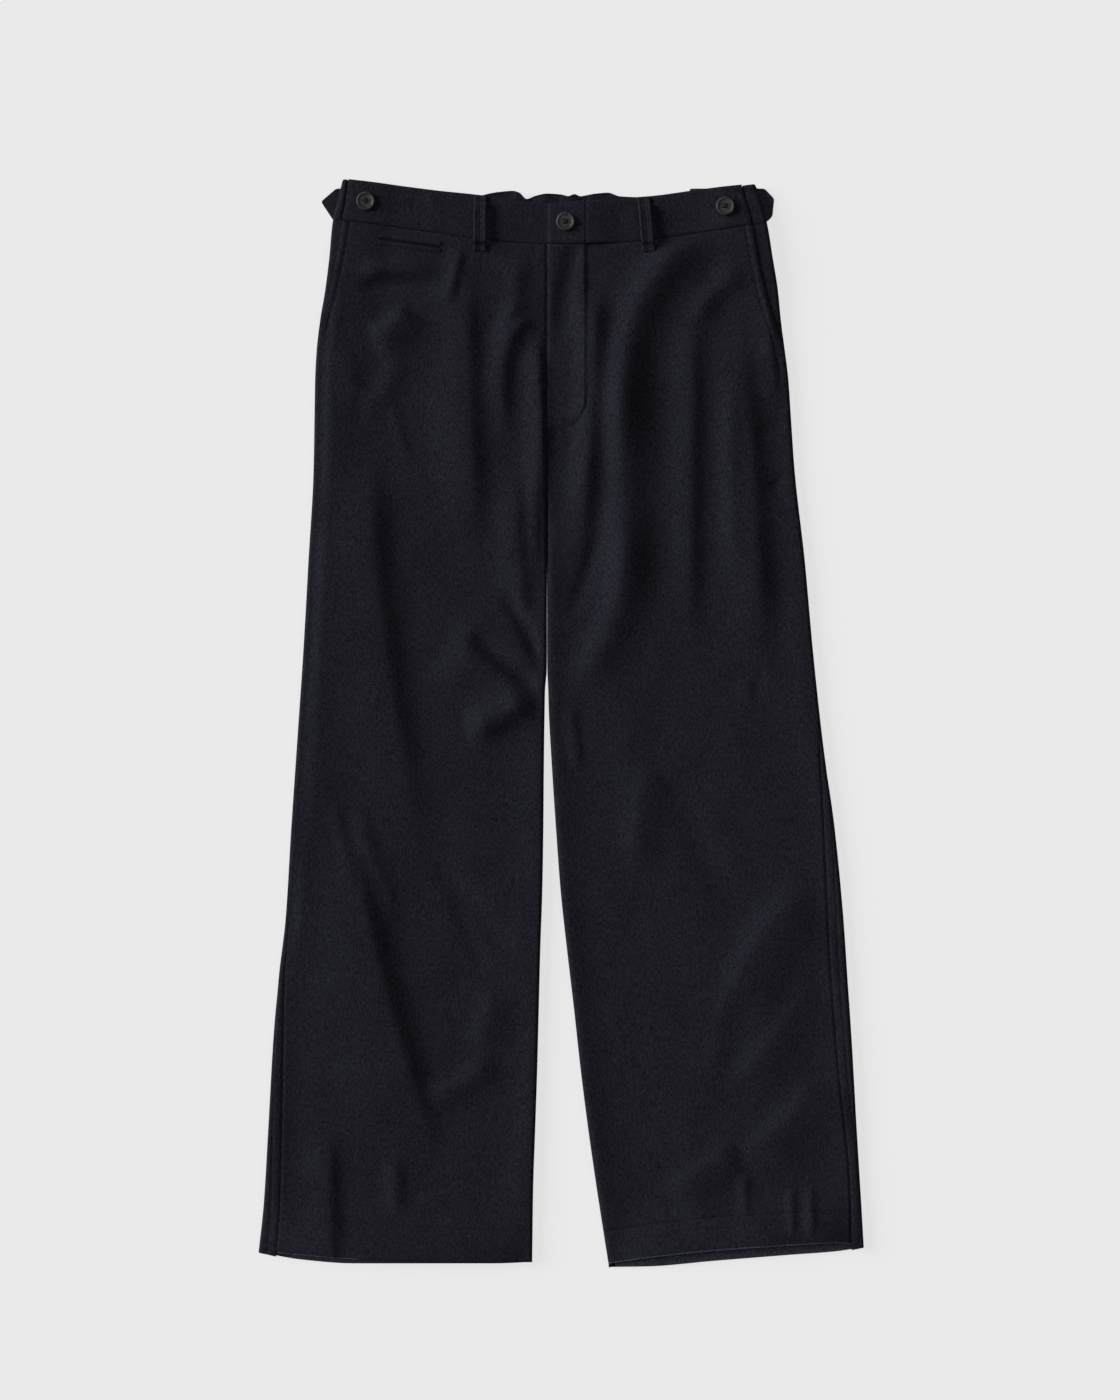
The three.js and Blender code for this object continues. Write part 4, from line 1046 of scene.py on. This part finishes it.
def horn():
    """Polished horn: dark brown-grey with paler drifting streaks. A soft low gloss lights its rim."""
    paint, skin = new_material("polished dark horn", roughness=0.5, specular=0.16)
    place = add_node(paint, "ShaderNodeTexCoord").outputs["Object"]
    streak = add_node(
        paint, "ShaderNodeTexNoise",
        {"Vector": place, "Scale": 1 / (6 * mm), "Detail": 3.0, "Roughness": 0.55, "Distortion": 1.2},
    )
    colours = add_node(paint, "ShaderNodeValToRGB", {"Fac": streak.outputs["Fac"]})
    colours.color_ramp.elements[0].position = 0.35
    colours.color_ramp.elements[0].color = linear("#201f20")
    colours.color_ramp.elements[1].position = 0.68
    colours.color_ramp.elements[1].color = linear("#393638")
    scratch = add_node(
        paint, "ShaderNodeTexNoise",
        {"Vector": place, "Scale": 1 / (0.7 * mm), "Detail": 2.0, "Roughness": 0.5},
    )
    bump = add_node(
        paint, "ShaderNodeBump", {"Height": scratch.outputs["Fac"], "Strength": 0.2, "Distance": 0.05 * mm}
    )
    paint.node_tree.links.new(colours.outputs["Color"], skin.inputs["Base Color"])
    paint.node_tree.links.new(bump.outputs["Normal"], skin.inputs["Normal"])
    return paint


def sewing_thread():
    """Twisted polyester thread, near the flannel's colour and a little glossier."""
    paint, skin = new_material("dark sewing thread", roughness=0.8, specular=0.12)
    place = add_node(paint, "ShaderNodeTexCoord").outputs["Object"]
    twist = add_node(
        paint, "ShaderNodeTexNoise",
        {"Vector": place, "Scale": 1 / (0.5 * mm), "Detail": 1.0, "Roughness": 0.5},
    )
    colours = add_node(paint, "ShaderNodeValToRGB", {"Fac": twist.outputs["Fac"]})
    colours.color_ramp.elements[0].position = 0.3
    colours.color_ramp.elements[0].color = linear("#121216")
    colours.color_ramp.elements[1].position = 0.7
    colours.color_ramp.elements[1].color = linear("#22222a")
    paint.node_tree.links.new(colours.outputs["Color"], skin.inputs["Base Color"])
    return paint


polished_horn, thread = horn(), sewing_thread()
button = SimpleNamespace(radius=9.1, thick=3.1, hole=1.15, spread=1.9)
Step = namedtuple("Step", "inward down")
dish = [Step(0.35, 0), Step(0.4, 0.4), Step(0.5, 0.35), Step(1.6, 0.25)]
Button = namedtuple("Button", "name side x y turn")
buttons = [
    Button("button_waist", left, 4.2, 491.3, 12),
    Button("button_side_right", right, -191.3, 511.4, 38),
    Button("button_side_left", left, 160.5, 506.5, -9),
]


def seat_of(item):
    """The level at which a button clears the band all round its rim."""
    around = np.linspace(0, 2 * math.pi, 13)
    x, y = item.x + button.radius * np.cos(around), item.y + button.radius * np.sin(around)
    return float(band_height(item.side, x, y).max()) + gap


def drill(piece, cutter):
    cut = piece.modifiers.new("hole", "BOOLEAN")
    cut.object, cut.operation, cut.solver = cutter, "DIFFERENCE", "EXACT"
    bpy.context.view_layer.objects.active = piece
    bpy.ops.object.modifier_apply(modifier="hole")
    bpy.data.objects.remove(cutter)


def turned_button():
    deselect()
    bpy.ops.mesh.primitive_cylinder_add(
        vertices=72, radius=button.radius * mm, depth=button.thick * mm,
        location=(0, 0, button.thick / 2 * mm),
    )
    disc = bpy.context.object
    bpy.ops.object.transform_apply(location=True)
    soften(disc, 1.3, 6)
    bpy.ops.object.mode_set(mode="EDIT")
    bpy.ops.mesh.select_all(action="DESELECT")
    bpy.ops.object.mode_set(mode="OBJECT")
    top = max(disc.data.polygons, key=lambda face: face.center.z + (len(face.vertices) > 20))
    top.select = True
    bpy.ops.object.mode_set(mode="EDIT")
    bpy.ops.mesh.select_mode(type="FACE")
    for step in dish:
        bpy.ops.mesh.inset(thickness=step.inward * mm, depth=-step.down * mm)
    bpy.ops.object.mode_set(mode="OBJECT")
    for k in range(4):
        angle = math.pi / 4 + k * math.pi / 2
        x, y = button.spread * math.cos(angle), button.spread * math.sin(angle)
        bpy.ops.mesh.primitive_cylinder_add(
            vertices=20, radius=button.hole * mm, depth=8 * mm, location=(x * mm, y * mm, 1.5 * mm)
        )
        drill(disc, bpy.context.object)
    return disc


def join(pieces):
    deselect()
    for piece in pieces:
        piece.select_set(True)
    bpy.context.view_layer.objects.active = pieces[0]
    bpy.ops.object.join()
    return bpy.context.object


def thread_cross():
    """Two thick wraps of thread over the button's face, from hole to opposite hole."""
    bars = []
    for angle in (45, 135):
        bpy.ops.mesh.primitive_cylinder_add(
            vertices=10, radius=0.5 * mm, depth=4.8 * mm, location=(0, 0, (button.thick - 0.55) * mm),
            rotation=(math.pi / 2, 0, math.radians(angle)),
        )
        bar = bpy.context.object
        bpy.ops.object.transform_apply(location=True, rotation=True)
        soften(bar, 0.3, 3)
        bars.append(bar)
    return join(bars)


def place_on_button(model, item, name, paint):
    """A copy of a model, turned and sat on the band where the button is."""
    piece = model.copy()
    piece.data = model.data.copy()
    piece.name = piece.data.name = name
    bpy.context.collection.objects.link(piece)
    at = Vector((item.x * mm, item.y * mm, seat_of(item) * mm))
    piece.data.transform(Matrix.Translation(at) @ Matrix.Rotation(math.radians(item.turn), 4, "Z"))
    deselect()
    bpy.context.view_layer.objects.active = piece
    piece.select_set(True)
    bpy.ops.object.shade_smooth_by_angle(angle=math.radians(38))
    dress(piece, paint)
    return piece


disc, cross = turned_button(), thread_cross()
for item in buttons:
    whole = place_on_button(disc, item, f"{item.name}_horn", polished_horn)
    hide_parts(item.name)
    place_on_button(cross, item, f"{item.name}_thread", thread)
for model in (disc, cross):
    bpy.data.objects.remove(model)

# Stitching: lockstitch rows in dark thread along every sewn edge that shows, one short length of thread
# for each stitch, half sunk in the trench it pulls.
stitch_length, stitch_pitch, thread_radius = 2.5, 3.2, 0.3


def stitch_model():
    deselect()
    bpy.ops.mesh.primitive_uv_sphere_add(segments=6, ring_count=5, radius=1)
    stitch = bpy.context.object
    stitch.scale = (stitch_length / 2 * mm, thread_radius * mm, thread_radius * mm)
    bpy.ops.object.transform_apply(scale=True)
    return stitch


def along(marks, spacing):
    """Evenly spaced places and directions along a line through marks."""
    near = 0.8
    marks = np.array(marks, float)
    lengths = np.concatenate([[0], np.cumsum(np.linalg.norm(np.diff(marks, axis=0), axis=1))])
    count = max(2, int(lengths[-1] / spacing))
    at = (np.arange(count) + 0.5) * lengths[-1] / count
    ahead, behind = np.minimum(at + near, lengths[-1]), np.maximum(at - near, 0)

    def place(distance):
        return np.stack([np.interp(distance, lengths, marks[:, k]) for k in range(3)], -1)

    return place(at), place(ahead) - place(behind)


def sew(name, rows, size=1.0, spacing=stitch_pitch):
    """One piece for all of a seam's stitches; each row is a line of places on the cloth, in mm."""
    model = stitch_model()
    copies = []
    for row in rows:
        for centre, direction in zip(*along(row, spacing)):
            turned = Vector(direction).to_track_quat("X", "Z").to_matrix().to_4x4()
            stitch = model.copy()
            stitch.data = model.data.copy()
            stitch.data.transform(Matrix.Translation(Vector(centre) * mm) @ turned @ Matrix.Scale(size, 4))
            bpy.context.collection.objects.link(stitch)
            copies.append(stitch)
    bpy.data.objects.remove(model)
    seam_piece = join(copies)
    seam_piece.name = seam_piece.data.name = name
    bpy.ops.object.shade_smooth()
    dress(seam_piece, thread)


def on_front(side, x, y):
    return np.stack([x, y, front_height(side, x, y) + front_proud(side, x, y) + 0.12], -1)


def on_band(side, x, y):
    return np.stack([x, y, band_height(side, x, y) + band_detail(side, x, y) + 0.1], -1)


def pocket_row(side):
    y = np.linspace(waist_seam(side.outer(470)) - 4, side.pocket_end + 12, 80)
    x = side.outer(y) - side.out * (side.pocket_inset(y) + pocket_stitch)
    return on_front(side, x, y)


def pocket_tacks(side):
    """Short bars across the pocket's edge at both ends of its opening."""
    bars = []
    for y0 in (waist_seam(side.outer(470)) - 7, side.pocket_end + 16):
        edge = side.outer(y0) - side.out * side.pocket_inset(y0)
        x = edge - side.out * np.linspace(1.2, 7.2, 8)
        bars.append(on_front(side, x, y0 + 0 * x))
    return bars


def fly_rows():
    y = np.linspace(waist_seam(fly.left) - 2, fly_foot_y + fly.corner, 90)
    t = np.linspace(1, 0.05, 60)
    foot_y = fly_foot_y + fly.corner * (1 - np.sqrt(np.maximum(1 - t**3, 0)))
    x = np.concatenate([fly.left + 0 * y, lerp(fly.right, fly.left, t)])
    y = np.concatenate([y, foot_y])
    return [on_front(left, x, y)]


def outseam_row(side):
    top = outseams[side.name][0].y - 110
    levels = np.linspace(side.hem_front(side.outer(-500)) + 3, top, 160)[:, None]
    around = front_edge(side, levels) - rolled_gap - outseam_stitch
    return side_points(side, around, lambda x: levels + 0 * x, lambda x, y: 0 * x - 0.4)[:, 0]


def hem_row(side):
    low, high = sorted((side.outer(-490) - side.out * 3, side.inner(-490) + side.out * 2))
    x = np.linspace(low, high, 120)
    y = side.hem_stitch(x)
    shares = np.abs(side.outer(y) - x) > inset_of(front_edge(side, y)) + 1
    return on_front(side, x[shares], y[shares])


for side in (right, left):
    sew(f"pocket_stitches_{side.name}", [pocket_row(side)])
    sew(f"pocket_tack_{side.name}", pocket_tacks(side), spacing=1.2)
    sew(f"hem_stitches_{side.name}", [hem_row(side)])
    sew(f"outseam_stitches_{side.name}", [outseam_row(side)])
sew("fly_stitches", fly_rows())
band_y = np.linspace(waist_seam(band_stitch_x) + 2, band_top(band_stitch_x) - 2, 20)
sew("band_stitches", [on_band(left, band_stitch_x + 0 * band_y, band_y)])


def buttonhole_rows():
    """Close stitches on both sides of the slit, each lying across it."""
    rows = []
    (x0, y0), (x1, y1) = buttonhole
    for t in np.linspace(0.42, 1, 17):
        for side_of in (-1, 1):
            x, y = lerp(x0, x1, t), lerp(y0, y1, t)
            across = np.array([[0, side_of * 0.45], [0, side_of * 1.9]]) + [x, y]
            rows.append(on_band(left, across[:, 0], across[:, 1]))
    return rows


sew("buttonhole_stitches", buttonhole_rows(), size=0.55, spacing=1.2)


def loop_tacks(item):
    """A row of close stitches across the loop near each of its ends."""
    grid = front_loop_grid(item)
    levels = grid[:, across_loop.size // 2, 1]
    ends = (item.bottom.y + loop.tack, item.top.y - loop.tack)
    return [grid[np.abs(levels - y).argmin(), 2:-2] + [0, 0, 0.15] for y in ends]


for item in front_loops:
    sew(f"{item.name}_tacks", loop_tacks(item), spacing=1.1, size=0.9)
